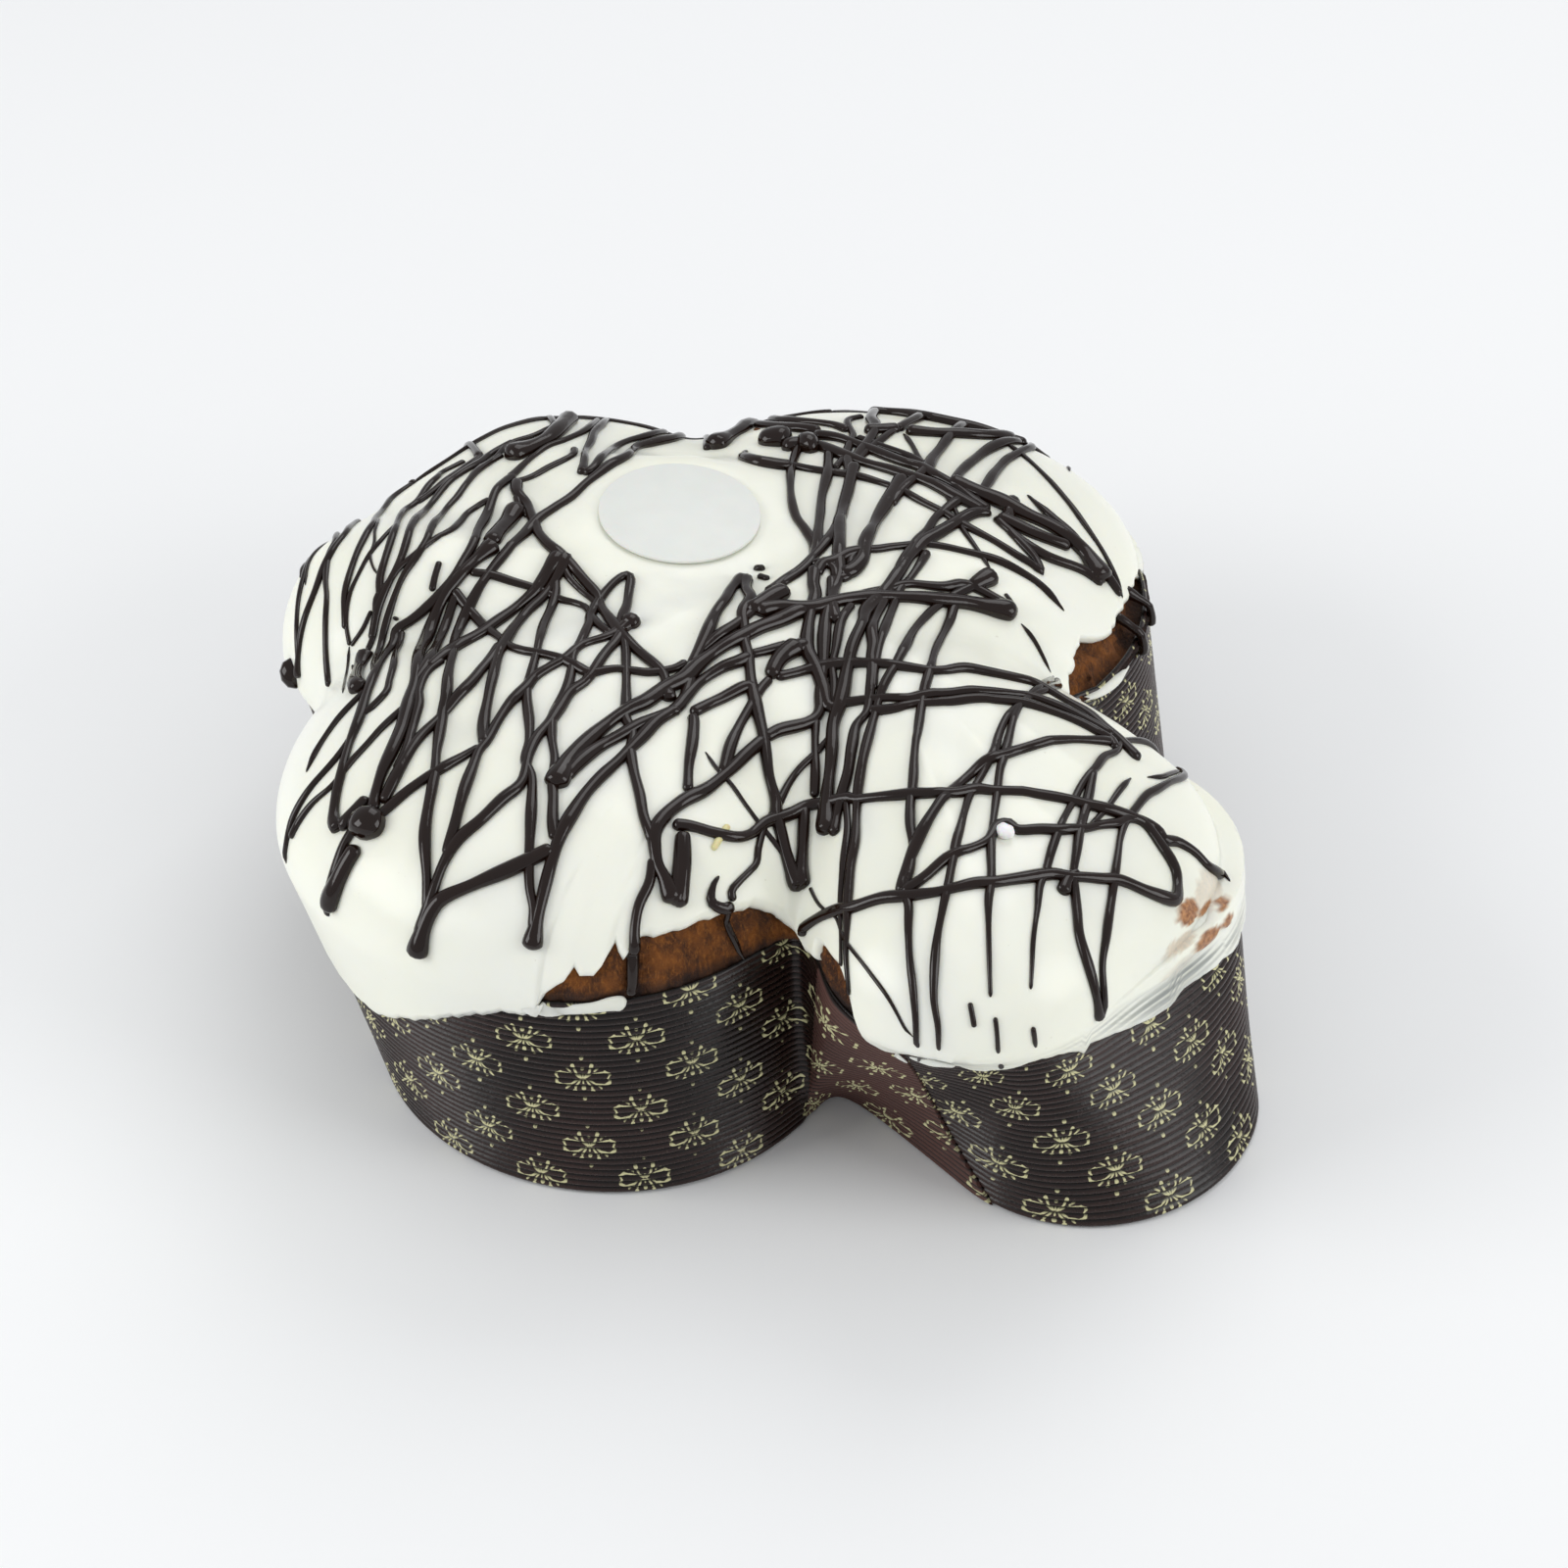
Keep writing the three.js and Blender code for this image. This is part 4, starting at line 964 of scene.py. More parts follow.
    (4.3, "rr", (-27.6, 90.2, -22, 93.5, -17, 98, -12, 103.5, -9.5, 109, -9, 115.5)),
    (3.4, "rr", (-30, 89, -31, 95, -33, 103, -36, 108)),
    (2.4, "rr", (-31.2, 91, -29.4, 83, -28.5, 76.7, -26.8, 68.7, -24, 61.7)),
    (3.4, "rr", (-52, 108, -48.7, 104, -44.4, 97, -40.8, 91.6, -35.5, 86.3, -32, 80, -29.4, 72, -27, 64)),
    (2.4, "rr", (-44.4, 92.4, -45.2, 87, -42.6, 83, -37.3, 78.4, -33.8, 72, -30.3, 65, -28, 58)),
    (3.0, "bb", (-36, 82, -33, 86, -30, 90.5)),
    (1.5, "tt", (-27.6, 89, -20.6, 84, -14.4, 79, -9, 75.5, -4, 72, 3.2, 67, 11, 61.7, 17, 56.4, 26, 51.5,
        33, 48)),
    # near wing, down to its tips
    (2.7, "br", (26.3, -131.8, 23.5, -129, 19.8, -126, 15.4, -121, 9.5, -113.5, 4.4, -107, -0.7, -101, -6,
        -97.4, -10.3, -91, -15.4, -85, -21.3, -79, -25, -74.7, -27.6, -70, -31.3, -63.8, -35.8, -57, -40.3,
        -50.3, -44.8, -42, -47.8, -37, -52.3, -31.7, -55.2, -26.4)),
    (4.0, "rb", (18.3, -115, 15.4, -121, 12.4, -126, 7.3, -132, 2.2, -137.7, 0.7, -141, 0.6, -147.3)),
    (3.2, "br", (0.6, -145.5, 0, -143, -1.5, -137.7, -3, -132, -3.3, -126, -1.8, -118.7, -1.5, -111.3, -1.5,
        -104, -6.6, -95.2, -9.5, -88.6, -11, -82, -12.5, -77.6, -14.7, -70.3, -14.3, -64.4, -15, -60, -17.2,
        -53.3, -18.6, -47.4, -20.5, -42)),
    (3.0, "rb", (-3.7, -130.4, -6.6, -123.8, -11, -115.7, -15.4, -107, -18.4, -101, -19.5, -96.7, -22, -90,
        -24.2, -82.8, -25, -75.4, -25.8, -71, -25, -66, -24, -60, -24.6, -53.3, -22.4, -47.3, -21.6, -43,
        -21.3, -35.4)),
    (4.4, "br", (-21.3, -35, -21.4, -40)),
    (3.0, "rr", (0, -142, -5, -136.3, -12.5, -128.2, -19.8, -117.2, -22.7, -112.8, -28.6, -105.5, -36,
        -95.2, -39.6, -89.4, -44.8, -82.8, -50, -75.5, -54.5, -69.8, -58.2, -64.5, -61.2, -57.8, -63.4,
        -50.3, -65, -43, -66.4, -35.4, -68.6, -26.4, -71, -16.7, -70.8, -5, -71.5, 4, -71.8, 13, -72.6, 22,
        -76, 27.5, -80, 33, -82, 38, -81.5, 46, -81.8, 53, -85, 60, -90, 64)),
    (2.8, "rr", (17, -113, 13, -109, 8, -103, 4.4, -99, 0, -93, -6.6, -86.4, -12.5, -79, -16.4, -69, -20,
        -63, -23.5, -58, -26, -52, -30, -44.4, -33, -40, -35.8, -33, -36.8, -26, -36.4, -21.5, -34.5, -22,
        -31.3, -26.4, -27.6, -31.7, -24.6, -37, -19.4, -43, -15, -47.3, -10.4, -52.6, -6, -57.8, 0, -65, 3,
        -69, 8, -72, 12, -78)),
    (3.2, "rb", (-19, -98, -25, -91.6, -30, -84.2, -35.2, -76, -40.4, -68, -43.3, -62, -46.2, -54.8, -48.5,
        -47.4, -49.2, -40.6, -50.5, -34, -52.5, -28.5, -54.5, -26)),
    (2.8, "rr", (-27.2, -129.7, -25.7, -123.8, -23.5, -115.7, -22, -111.3, -20.6, -104, -19.5, -99)),
    (3.0, "rr", (-28.6, -126, -30.8, -118.7, -33, -111.3, -35.2, -104, -36, -96.7, -36.7, -89.4, -37.4, -82,
        -39, -76, -41, -69.5, -43.3, -64.4)),
    (5.0, "bb", (-30, -128, -28.5, -132, -27.2, -135.5)),
    (4.4, "rb", (-27.5, -137, -27.9, -140, -28.5, -144, -29.8, -147)),
    (2.6, "rr", (-31, -131, -31.6, -137, -30.6, -143, -31, -149)),
    (3.6, "rb", (-29.4, -129, -32.3, -124.5, -35.2, -118.6, -38, -111.3, -42.6, -102.5, -47, -95.2, -50,
        -90, -54.5, -84, -59.7, -77.3, -64.2, -69.8, -67.2, -63.9, -69.4, -57, -69.9, -50.4, -70.4, -43,
        -70.6, -35)),
    (3.0, "rr", (-50, -90.7, -52.3, -83.3, -56.7, -75, -61.2, -67.5, -65, -60, -67.2, -54.8)),
    (3.6, "rb", (-51, -84, -52, -77, -53, -69.8, -52.2, -61.5, -52.2, -54, -52, -46.6, -52.2, -40, -53.7,
        -33, -55.2, -26.4)),
    (2.6, "rr", (-50.6, -78.4, -50, -85, -47, -91.6, -43.3, -96, -39, -103.3, -34.5, -110.6, -32.3,
        -117.2)),
    (3.2, "rb", (-33.7, -126, -34.5, -131.2, -35.3, -135.3)),
    (2.8, "br", (-35.3, -135.3, -39, -133.3, -43.3, -127.5, -47, -121, -51.4, -113.5, -55.2, -105.5, -60,
        -97.4, -63.6, -91, -67.2, -84.2, -69.6, -79.4, -72, -74, -73.8, -71, -72.5, -66.8, -71.4, -62.6,
        -70.6, -57.8, -71, -51.8, -72.6, -45.8, -75, -38.6, -79.2, -32, -82.8, -25.4, -87, -17.6, -88.8,
        -14, -90.6, -8.6, -92, -3)),
    (2.0, "rr", (-72.6, -70.4, -69.6, -74.6, -66, -80, -61.2, -86, -57.6, -91.4, -55, -95.6, -54.6, -101,
        -55.3, -105.5, -52.8, -111.4, -51.4, -118.7, -52.8, -126, -53.6, -133.4, -53, -139, -57, -142, -66,
        -139, -74, -131, -80, -124)),
    (2.0, "rr", (-46, -95.5, -46.3, -104, -46, -111.3, -46, -118.7, -46.3, -126, -49.2, -131.2, -51.5,
        -137)),
    (2.0, "rt", (-61, -94, -61.5, -101, -61, -108, -60, -116, -58.5, -123)),
    (4.2, "bb", (-80, -15, -77, -22.7, -74, -30.2, -71.6, -36)),
    (2.0, "rr", (-77.4, -49.6, -75.2, -54, -73, -57.8)),
    (1.8, "rr", (-76.3, -68.2, -76.1, -69.2)),
    # across the near wing
    (3.2, "rb", (-88.8, -5.5, -84.3, -10.4, -79, -12.6, -74.6, -16, -70.2, -19.3, -65.7, -22.7, -60.5,
        -25.3, -56, -26.4, -50, -27.6, -43.3, -29.8, -37.3, -32, -34.3, -34.7, -30, -37.6, -24.6, -40.6,
        -18.7, -43.6, -11.2, -46, -3.7, -48, 0, -49.7, 4, -53.3, 7, -56.4)),
    (2.4, "rr", (-83.6, -11.5, -79, -15.2, -74, -17.3)),
    (2.0, "rr", (-52, -29, -48.5, -31, -42.5, -32.8, -37.3, -34, -32.8, -37)),
    (2.4, "rr", (-68.7, -47.4, -64.2, -44.4, -58.2, -42, -53.7, -40, -49.2, -38.8, -44.8, -38.4, -40.3,
        -37.3, -36.6, -37.6, -32, -40.6, -27.6, -43, -22.4, -44.4)),
    (2.8, "rr", (-68.7, -54, -63.4, -55.6, -58.2, -57, -52.2, -59.3, -46.3, -61.5, -41, -63.8, -35.8, -64.2,
        -30, -62.7, -24.6, -61.5, -18.7, -61.5, -14.9, -60.8, -11.2, -55.6, -7.5, -53.3, -3.7, -51, 0, -46,
        1.1, -41.6)),
    # between the near wing and the tail
    (4.0, "bb", (-63, -97.2, -67.2, -93.8, -71.4, -89, -75, -83.6, -77.4, -78.8)),
    (1.9, "rr", (-77.4, -78.8, -79.2, -74, -82, -70, -84, -67, -84, -62.6, -84.6, -57.8, -84, -50.6, -83.7,
        -43.4, -84, -37.4, -86.4, -31.4, -88.5, -26, -88.5, -21, -87.6, -17.6)),
    (2.1, "rr", (-65.4, -89, -69.6, -84.2, -73.2, -78.8, -76.8, -72.8, -79.8, -65.6, -82, -59, -83.4, -51.8,
        -85.2, -45.8, -88.8, -39.8, -92.4, -33.2, -95.4, -26.6, -97.2, -20, -99.6, -13.4, -102, -7.4, -104,
        0, -104, 6)),
    (2.3, "rr", (-78.6, -75.8, -82.2, -68.6, -85.2, -58, -88.8, -50, -93, -43.4, -96.6, -37.4, -99.6, -31.4,
        -102, -24.8, -103.8, -19.4, -105, -14.6, -105.8, -9.8, -106.5, -2, -108, 6, -107, 14)),
    (2.1, "rr", (-83.4, -66.8, -87, -62.6, -90, -57.2, -93.6, -50.6, -96.6, -45.8, -100.2, -41, -103.8,
        -35.6, -106.2, -31.4, -107, -26, -109.8, -18.8, -111.3, -13.4, -113.4, -8.6, -113, 0)),
    (1.3, "rr", (-84, -78.8, -88.2, -75.2, -91.8, -69.8, -94.2, -63.2, -95.7, -57.2, -96.6, -50.6, -97.8,
        -45.8, -99.6, -41.6)),
    (2.0, "rr", (-87.6, -76.4, -93, -70.4, -96.6, -64.4, -99.6, -58.4, -102.6, -51.8, -106.2, -44.6, -110.4,
        -39.2, -114.6, -32.6, -117.6, -27.2, -120.6, -21.2, -122, -12)),
    (0.9, "tt", (-88.2, -62, -91.8, -60.2, -95.4, -57.2, -97.8, -53, -102, -48.2, -105.6, -43.4, -109.2,
        -39.2)),
    (1.8, "rt", (-84.5, -87, -90, -81.8, -94.2, -77, -99, -71, -103.2, -66.8, -106.8, -62.6, -109.8, -58.4,
        -112.2, -53.6, -115.8, -49.4, -119.4, -45.2, -124.2, -41.6)),
    (0.9, "tt", (-84, -79, -81, -83, -77.4, -87.8, -73.2, -92.6, -69, -97.5)),
    (1.1, "rr", (-79.2, -83, -76.8, -85.1)),
    (1.2, "rr", (-83.4, -70.4, -82.8, -74.6, -83.4, -78.8)),
    (2.2, "br", (-100, -83.5, -102.6, -77.6, -105, -69.8, -108, -62.6, -109.8, -56.6, -112.2, -49.4, -115.8,
        -44, -119.4, -38.6, -122.4, -33.8)),
    (1.6, "rr", (-101, -81.8, -106.2, -75.8, -111, -69.8, -115.2, -63.2, -118.8, -57.8, -121.8, -53.6,
        -124.8, -51)),
    (2.2, "rr", (-106.4, -27, -106, -20.5, -106.7, -13, -109, -4, -110, 4)),
    (2.4, "br", (-75.5, 7, -74.8, 10, -76.5, 15, -80, 22, -84.3, 30, -85.5, 38, -85.5, 47, -88, 56, -93,
        61)),
    (2.4, "br", (-75.8, 7, -81, 14, -86, 20, -90, 27, -94, 33, -98, 41, -103, 49)),
    (5.0, "br", (-68.2, 53.5, -68.7, 60, -70, 68, -73, 76, -75, 83)),
    (2.2, "br", (-68.8, 53, -73, 57, -77.5, 63, -82, 68)),
    (2.2, "rr", (-89, -6, -87.5, 5, -86, 14, -89, 19)),
    (2.1, "rr", (-92, -5, -94.5, 5, -96, 15, -95.5, 22, -96, 30, -98.5, 37, -103, 45)),
    (5.2, "br", (-101.2, 4.5, -99.3, 12, -99, 19, -102, 28, -107, 38)),
    (1.9, "rr", (-104, -4, -105, 4, -107, 12, -104.5, 20, -105, 30)),
    (4.4, "bb", (-102.5, -82.5, -108, -83.5)),
    (1.6, "tt", (-118, -62, -124, -52, -128, -41, -130, -29, -129, -16)),
    (1.4, "tt", (-112, -66, -118, -58, -123, -47, -126, -36, -127, -24)),
    # along the far edge of the tail and the far wing, where the cake turns away
    (2.0, "rr", (-128, -14, -124.5, -2, -122, 10, -118.5, 23, -113, 35, -107, 45, -100, 52.5, -92, 58, -84,
        64, -77.5, 72, -72, 81, -66, 89, -58, 96)),
    (4.4, "rr", (-50, 102, -44, 105.5, -38, 107, -32, 107, -26, 109, -19, 112, -12, 114, -4, 116)),
    (2.6, "rt", (-60, 97, -53, 103, -45, 108.5, -36, 111, -27, 113.5, -17, 115.5, -7, 117.5, 3, 118)),
    (1.6, "tt", (8.5, 118, 11, 115.5, 13, 113)),
    # down the far side, guessed
    (2.8, "rb", (-7, 114, -8, 121, -10, 127, -11, 131)),
    (2.4, "rt", (-4, 117, -3, 122, -3, 127)),
    (3.0, "rb", (-23, 111, -26, 117, -31, 124)),
    (2.6, "rl", (-36, 107, -41, 112, -46, 118, -50, 124)),
    (3.0, "rb", (-52, 107, -56, 111.5, -60, 116)),
    (2.6, "rb", (-75, 82, -79, 87, -84, 92)),
    (2.8, "rb", (-106.5, 37, -112, 44, -117, 50, -121, 55)),
    (2.4, "rb", (-105, 29, -113, 36, -121, 43, -128, 49)),
    (3.0, "rb", (-127, -14, -134, -11, -140, -8)),
    (2.4, "rt", (-122, -12, -129, -3, -136, 4, -142, 9)),
    (2.6, "rb", (-110, 3, -119, 10, -128, 17, -136, 23)),
    (2.2, "rb", (97.6, 15.5, 98, 24, 99, 31, 100, 37, 100.5, 43)),
]
drizzle = {
    "step": 1.12,  # mm between rings
    "sides": 10,
    "rise": 0.42,  # height over width
    "sunk": 0.14,
    "capRings": (0.15, 0.4, 0.75),  # extra rings in a round end, as shares of its radius
    "swell": 0.38,  # of a blob
    "thinEnd": 0.35,
    "longEnd": 0.45,
    "longTaper": 32.0,
}
# Curls that hang over the case's rim in the far notch: a section across the rim,
# then where each lies in plan and the way out of the case there
curl = {
    "width": 2.5,
    "across": (-7, -4, -1.7, 0.4, 1.1, 1.0),
    "height": (77.4, 75.8, 74.4, 73.2, 70, 66.5),
    "places": [((63.0, 76.0), (0.94, 0.32)), ((57.6, 87.8), (0.87, 0.49))],
}


# Field value at which the icing stops on the crust, for each direction from the hub
edgeAngles = np.linspace(0, 2 * math.pi, 721)[:-1]
edgeCover = Cover(edgeAngles, domeHeight)
edgePoints = edgeCover.at(edgeAt(edgeAngles)[None])[0]
edgeField = outline(dove["rimLobes"], edgePoints[:, 0], edgePoints[:, 1])
edgeField = np.where(edgeAt(edgeAngles) < -1, edgeField, 60)


def bareField(angle):
    return np.interp(angle % (2 * math.pi), edgeAngles, edgeField, period=2 * math.pi)


# Where a point in plan lies on the cake's outside, with the way it faces.
# Over the rim it runs down the wall.
def coverAt(x, y):
    def away(a, b):
        return outline(dove["rimLobes"], a, b)

    e = 0.4  # mm to either side, for a slope
    gx = (away(x + e, y) - away(x - e, y)) / (2 * e)
    gy = (away(x, y + e) - away(x, y - e)) / (2 * e)
    over = np.maximum(0, away(x, y) - dove["icingOver"] + 0.4)
    px, py = x - gx * over, y - gy * over
    fallX = (iceHeight(px - e, py) - iceHeight(px + e, py)) / (2 * e)
    fallY = (iceHeight(px, py - e) - iceHeight(px, py + e)) / (2 * e)
    normal = unit(np.stack([fallX, fallY, np.ones_like(px)], -1))
    sideways = np.stack([gx, gy, np.full_like(gx, 0.1)], -1)
    hang = smooth(over / 2)[..., None]
    normal = unit(normal * (1 - hang) + sideways * hang)
    lean = outline(dove["footLobes"], px, py) * over / dove["caseHeight"]
    point = np.stack([px - gx * lean, py - gy * lean, iceHeight(px, py) - over], -1)
    # Past the icing's edge a stroke drops onto the crust
    hubX, hubY = dove["hub"]
    bare = smooth((away(x, y) - bareField(np.arctan2(y - hubY, x - hubX))) / 1.5)
    sink = dove["icingThick"] - 0.5 - 0.8 * smooth(over / 2)
    return point - normal * (bare * sink)[..., None], normal


# Smooth curve through plan points, as closely spaced points
def curveThrough(numbers):
    given = np.array(numbers, float).reshape(-1, 2)
    ends = [2 * given[0] - given[1]], [2 * given[-1] - given[-2]]
    held = np.vstack([ends[0], given, ends[1]])
    out = []
    for a, b, c, d in zip(held, held[1:], held[2:], held[3:]):
        t = np.linspace(0, 1, 24)[:-1, None]
        second, third = 2 * a - 5 * b + 4 * c - d, 3 * b - a - 3 * c + d
        out.append(0.5 * (2 * b + (c - a) * t + second * t**2 + third * t**3))
    return np.vstack([*out, given[-1:]])


# Length along a curve at each of its points
def runOf(points):
    return np.concatenate([[0], np.cumsum(np.linalg.norm(np.diff(points, axis=0), axis=1))])


# Places of the rings along a stroke, closer together at its round ends
def spacedOut(length, width):
    where = np.linspace(0, length, max(5, int(length / drizzle["step"])))
    caps = np.array(drizzle["capRings"]) * width / 2
    caps = caps[caps < length / 3]
    return np.unique(np.concatenate([where, caps, length - caps]))


# A stroke on the cake, given in plan
def strokeSkin(width, ends, numbers, draw, rise=drizzle["rise"], uneven=1.0):
    plan = curveThrough(numbers)
    run = runOf(coverAt(plan[:, 0], plan[:, 1])[0])
    where = spacedOut(run[-1], width)
    x, y = (np.interp(where, run, plan[:, k]) for k in (0, 1))
    path, normal = coverAt(x, y)
    return tubeSkin(width, ends, where, path, normal, draw, rise, uneven)


# A curl over the rim of the case
def curlSkin(width, at, out, draw):
    across, height = np.array(curl["across"]), np.array(curl["height"])
    given = range(len(across))
    turn = np.linspace(0, len(across) - 1, 60)
    bend = np.stack([np.interp(turn, given, across), np.interp(turn, given, height)], 1)
    for _ in range(6):
        bend[1:-1] = (bend[:-2] + 2 * bend[1:-1] + bend[2:]) / 4
    run = runOf(bend)
    where = spacedOut(run[-1], width)
    bend = np.stack([np.interp(where, run, bend[:, k]) for k in (0, 1)], 1)
    slope = np.gradient(bend, axis=0)
    path = np.stack([at[0] + out[0] * bend[:, 0], at[1] + out[1] * bend[:, 0], bend[:, 1]], 1)
    normal = np.stack([-slope[:, 1] * out[0], -slope[:, 1] * out[1], slope[:, 0]], 1)
    return tubeSkin(width, "bb", where, path, normal, draw, 0.5, 1.0)


# Rings along a path, thicker and thinner by chance, with shaped ends
def tubeSkin(width, ends, where, path, normal, draw, rise, uneven):
    tangent = unit(np.gradient(path, axis=0))
    side = unit(np.cross(tangent, normal))
    up = np.cross(side, tangent)
    phase = draw.uniform(0, 6.28, 3)
    wave = 0.1 * np.sin(where / 6.5 + phase[0]) + 0.07 * np.sin(where / 2.9 + phase[1])
    size = 1 + uneven * wave
    for end, far in zip(ends, (where, where[-1] - where)):
        if end == "b":
            size = size * (1 + drizzle["swell"] * bell(far - width * 0.55, width * 0.75))
        if end == "t":
            thin = drizzle["thinEnd"]
            size = size * (thin + (1 - thin) * smooth(far / (width * 3)))
        if end == "l":
            thin = drizzle["longEnd"]
            size = size * (thin + (1 - thin) * smooth(far / drizzle["longTaper"]))
        tip = np.clip(far / (width * 0.5), 0.04, 1)
        size = size * np.sqrt(1 - (1 - tip) ** 2)
    half = width / 2 * size
    turn = np.linspace(0, 2 * math.pi, drizzle["sides"], endpoint=False)
    rings = []
    for k in range(len(path)):
        centre = path[k] + up[k] * (drizzle["sunk"] * width * min(1, size[k] * 1.2))
        across = np.cos(turn)[:, None] * side[k] * half[k]
        rings.append(centre + across + np.sin(turn)[:, None] * up[k] * (half[k] * 2 * rise))
    return skin(np.array(rings)[:, ::-1], path[0], path[-1])


# Several skins as one
def joined(skins):
    points, faces, base = [], [], 0
    for these, sides in skins:
        points.append(these)
        faces += [tuple(base + i for i in face) for face in sides]
        base += len(these)
    return np.vstack(points), faces


def makeDrizzle():
    draw = np.random.default_rng(5)
    skins = [strokeSkin(*stroke, draw) for stroke in strokes]
    skins += [curlSkin(curl["width"], at, out, draw) for at, out in curl["places"]]
    return addPiece("drizzle", *joined(skins), chocolateDark, "drizzle", ["icing"])


makeDrizzle()


# Round wafer: a thin disc with a soft rim, laid on the flat of the icing
def makeWaferDisc():
    x, y = wafer["at"]
    middle = toFrame([x, y, wafer["height"] + wafer["gap"] + wafer["thick"] / 2])
    bpy.ops.object.select_all(action="DESELECT")
    bpy.ops.mesh.primitive_cylinder_add(
        vertices=120, radius=wafer["radius"] * mm, depth=wafer["thick"] * mm, location=middle
    )
    disc = bpy.context.object
    disc.name = disc.data.name = "wafer_disc"
    disc.rotation_euler = (math.atan(wafer["tilt"][1]), -math.atan(wafer["tilt"][0]), 0)
    bevel = disc.modifiers.new("rim", "BEVEL")
    bevel.width, bevel.segments, bevel.limit_method = wafer["soft"] * mm, 3, "ANGLE"
    bpy.ops.object.modifier_apply(modifier=bevel.name)
    bpy.ops.object.transform_apply(location=True, rotation=True, scale=True)
    bpy.ops.object.shade_smooth_by_angle(angle=math.radians(40))
    finishPiece(disc, makeWafer(), ["disc"])


makeWaferDisc()

grain = {
    "at": (102.0, -41.2),
    "lifted": 1.6,
    "radius": 2.6,
    "shape": (1.0, 0.82, 0.72),
    "lumpSize": 2.4,
    "lumpHeight": 1.1,
    "colours": ("f7f8f8", "fdfdfd"),
    "gloss": 0.4,
}


# Grain of coarse sugar that lies on the icing of the head
def makeGrain():
    x, y = grain["at"]
    (under,), (way,) = coverAt(np.array([x]), np.array([y]))
    bpy.ops.object.select_all(action="DESELECT")
    bpy.ops.mesh.primitive_ico_sphere_add(
        subdivisions=4, radius=grain["radius"] * mm, location=toFrame(under + way * grain["lifted"])
    )
    piece = bpy.context.object
    piece.name = piece.data.name = "sugar_grain"
    piece.scale = grain["shape"]
    bpy.ops.object.transform_apply(location=True, rotation=True, scale=True)
    uneven = bpy.data.textures.new("grainForm", "CLOUDS")
    uneven.noise_scale = grain["lumpSize"] * mm
    lumpy = piece.modifiers.new("lumpy", "DISPLACE")
    lumpy.texture, lumpy.strength, lumpy.texture_coords = uneven, grain["lumpHeight"] * mm, "LOCAL"
    bpy.ops.object.modifier_apply(modifier=lumpy.name)
    bpy.ops.object.shade_smooth_by_angle(angle=math.radians(60))
    sugar = makeSweet("sugarGrain", *grain["colours"], grain["gloss"])
    finishPiece(piece, sugar, ["icing"])


makeGrain()

# Smears of icing on the case's rim, given as the strokes are
smears = {
    "rise": 0.15,
    "uneven": 0.9,
    "paperShow": 0.1,  # thin enough for a little of the paper to show
    "strokes": [
        (5.0, "tt", (24, -146, 32.6, -143.8, 38.1, -142.4, 43.5, -137.5)),
        (4.0, "lb", (30, -144.4, 38.1, -141.8, 42.4, -138.2, 46.5, -134, 49.5, -129.8, 52.5, -127)),
        (2.0, "tt", (97.1, -109.5, 103, -107.6, 108.5, -106.8, 113, -108.4)),
        (2.6, "tt", (114, -104.2, 118.4, -102.5, 124.5, -99.4, 128.5, -97.4)),
        (3.0, "tt", (65.8, 44.5, 67.8, 50, 68.3, 55, 67.8, 61, 67, 66)),
    ],
}


def makeSmears():
    flat = smears["rise"], smears["uneven"]
    skins = [strokeSkin(*stroke, np.random.default_rng(4), *flat) for stroke in smears["strokes"]]
    points, faces = joined(skins)
    values = {"paperShow": np.full(len(points), smears["paperShow"])}
    addPiece("icing_smears", points, faces, icingWhite, "icing", ["icing"], values)


makeSmears()

peel = {
    "width": 1.7,
    "path": (44, -78.3, 45, -82, 46.5, -87.5),
    "colours": ("d8cd8e", "e9e2b4"),
    "gloss": 0.35,
}


# Shred of candied peel on the icing of the near wing
def makePeel():
    points, faces = strokeSkin(peel["width"], "rr", peel["path"], np.random.default_rng(8))
    candied = makeSweet("candiedPeel", *peel["colours"], peel["gloss"])
    addPiece("peel_shred", points, faces, candied, "icing", ["icing"])


makePeel()


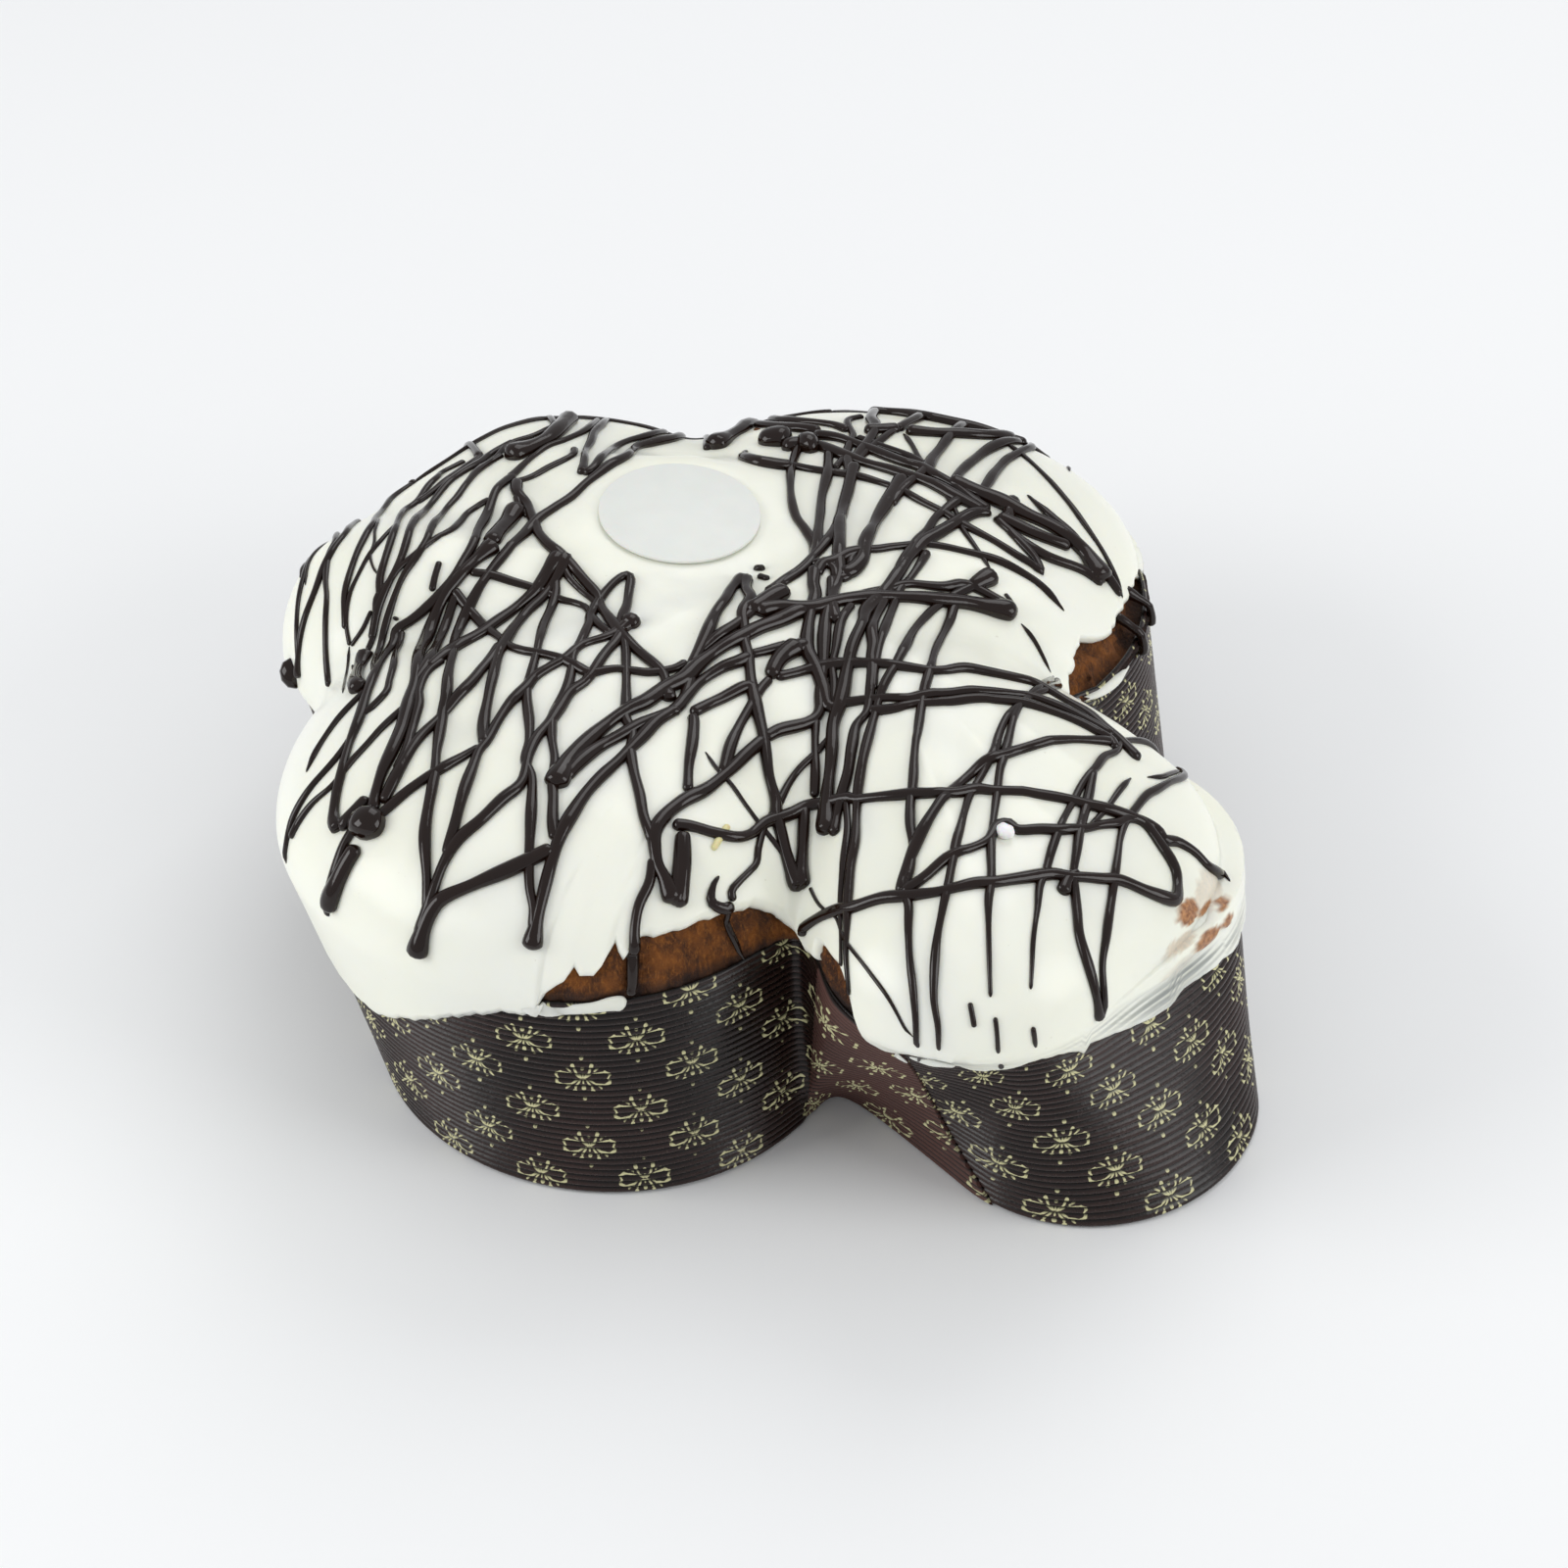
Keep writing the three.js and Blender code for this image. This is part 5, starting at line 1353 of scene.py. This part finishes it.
# Camera at the photograph's angle; lengths in metres, lens and sensor in mm
view = {
    "target": (-0.0154, 0.01116, 0.037),
    "way": (0.4748, -0.6012, 0.6428),
    "distance": 1.209,
    "lens": 101.25,
    "sensor": 36,
    "near": 0.01,
}


def placeCamera():
    target = Vector(view["target"])
    camera = bpy.data.cameras.new("camera")
    camera.lens, camera.sensor_width, camera.clip_start = view["lens"], view["sensor"], view["near"]
    holder = bpy.data.objects.new("camera", camera)
    bpy.context.collection.objects.link(holder)
    holder.location = target + Vector(view["way"]) * view["distance"]
    holder.rotation_euler = (target - holder.location).to_track_quat("-Z", "Y").to_euler()
    bpy.context.scene.camera = holder


# Soft studio: place, size in metres and power of each panel, then the light all round and the floor
studio = {
    "panels": [
        ((-0.75, -1.05, 0.75), 0.8, 8.4),
        ((1.2, 0.35, 0.7), 0.8, 6.4),
        ((-0.3, 0.9, 1.2), 0.9, 4.8),
    ],
    "aim": (0, 0, 0.05),
    "air": "fbfcff",
    "airStrength": 0.57,
    "floor": "f6f7f7",
    "floorSize": 6,
    "floorHeight": -0.0005,
}


def placeLights():
    for number, (place, size, power) in enumerate(studio["panels"]):
        panel = bpy.data.lights.new(f"panel{number}", "AREA")
        panel.shape, panel.size, panel.energy = "SQUARE", size, power
        holder = bpy.data.objects.new(f"panel{number}", panel)
        holder.location = place
        towards = Vector(studio["aim"]) - holder.location
        holder.rotation_euler = towards.to_track_quat("-Z", "Y").to_euler()
        bpy.context.collection.objects.link(holder)
    world = bpy.data.worlds.new("studio")
    world.use_nodes = True
    background = world.node_tree.nodes["Background"]
    background.inputs["Color"].default_value = linear(studio["air"])
    background.inputs["Strength"].default_value = studio["airStrength"]
    bpy.context.scene.world = world


# Plain matt paper under the cake
def makeFloor():
    bpy.ops.object.select_all(action="DESELECT")
    bpy.ops.mesh.primitive_plane_add(size=studio["floorSize"], location=(0, 0, studio["floorHeight"]))
    floor = bpy.context.object
    floor.name = "floor"
    paper = newMaterial("studioPaper")[0]
    finishMaterial(paper, {"Roughness": 0.9, "Base Color": linear(studio["floor"])})
    floor.data.materials.append(paper)


placeCamera()
placeLights()
makeFloor()
bpy.context.scene.view_settings.view_transform = "Standard"

print("all pieces made")
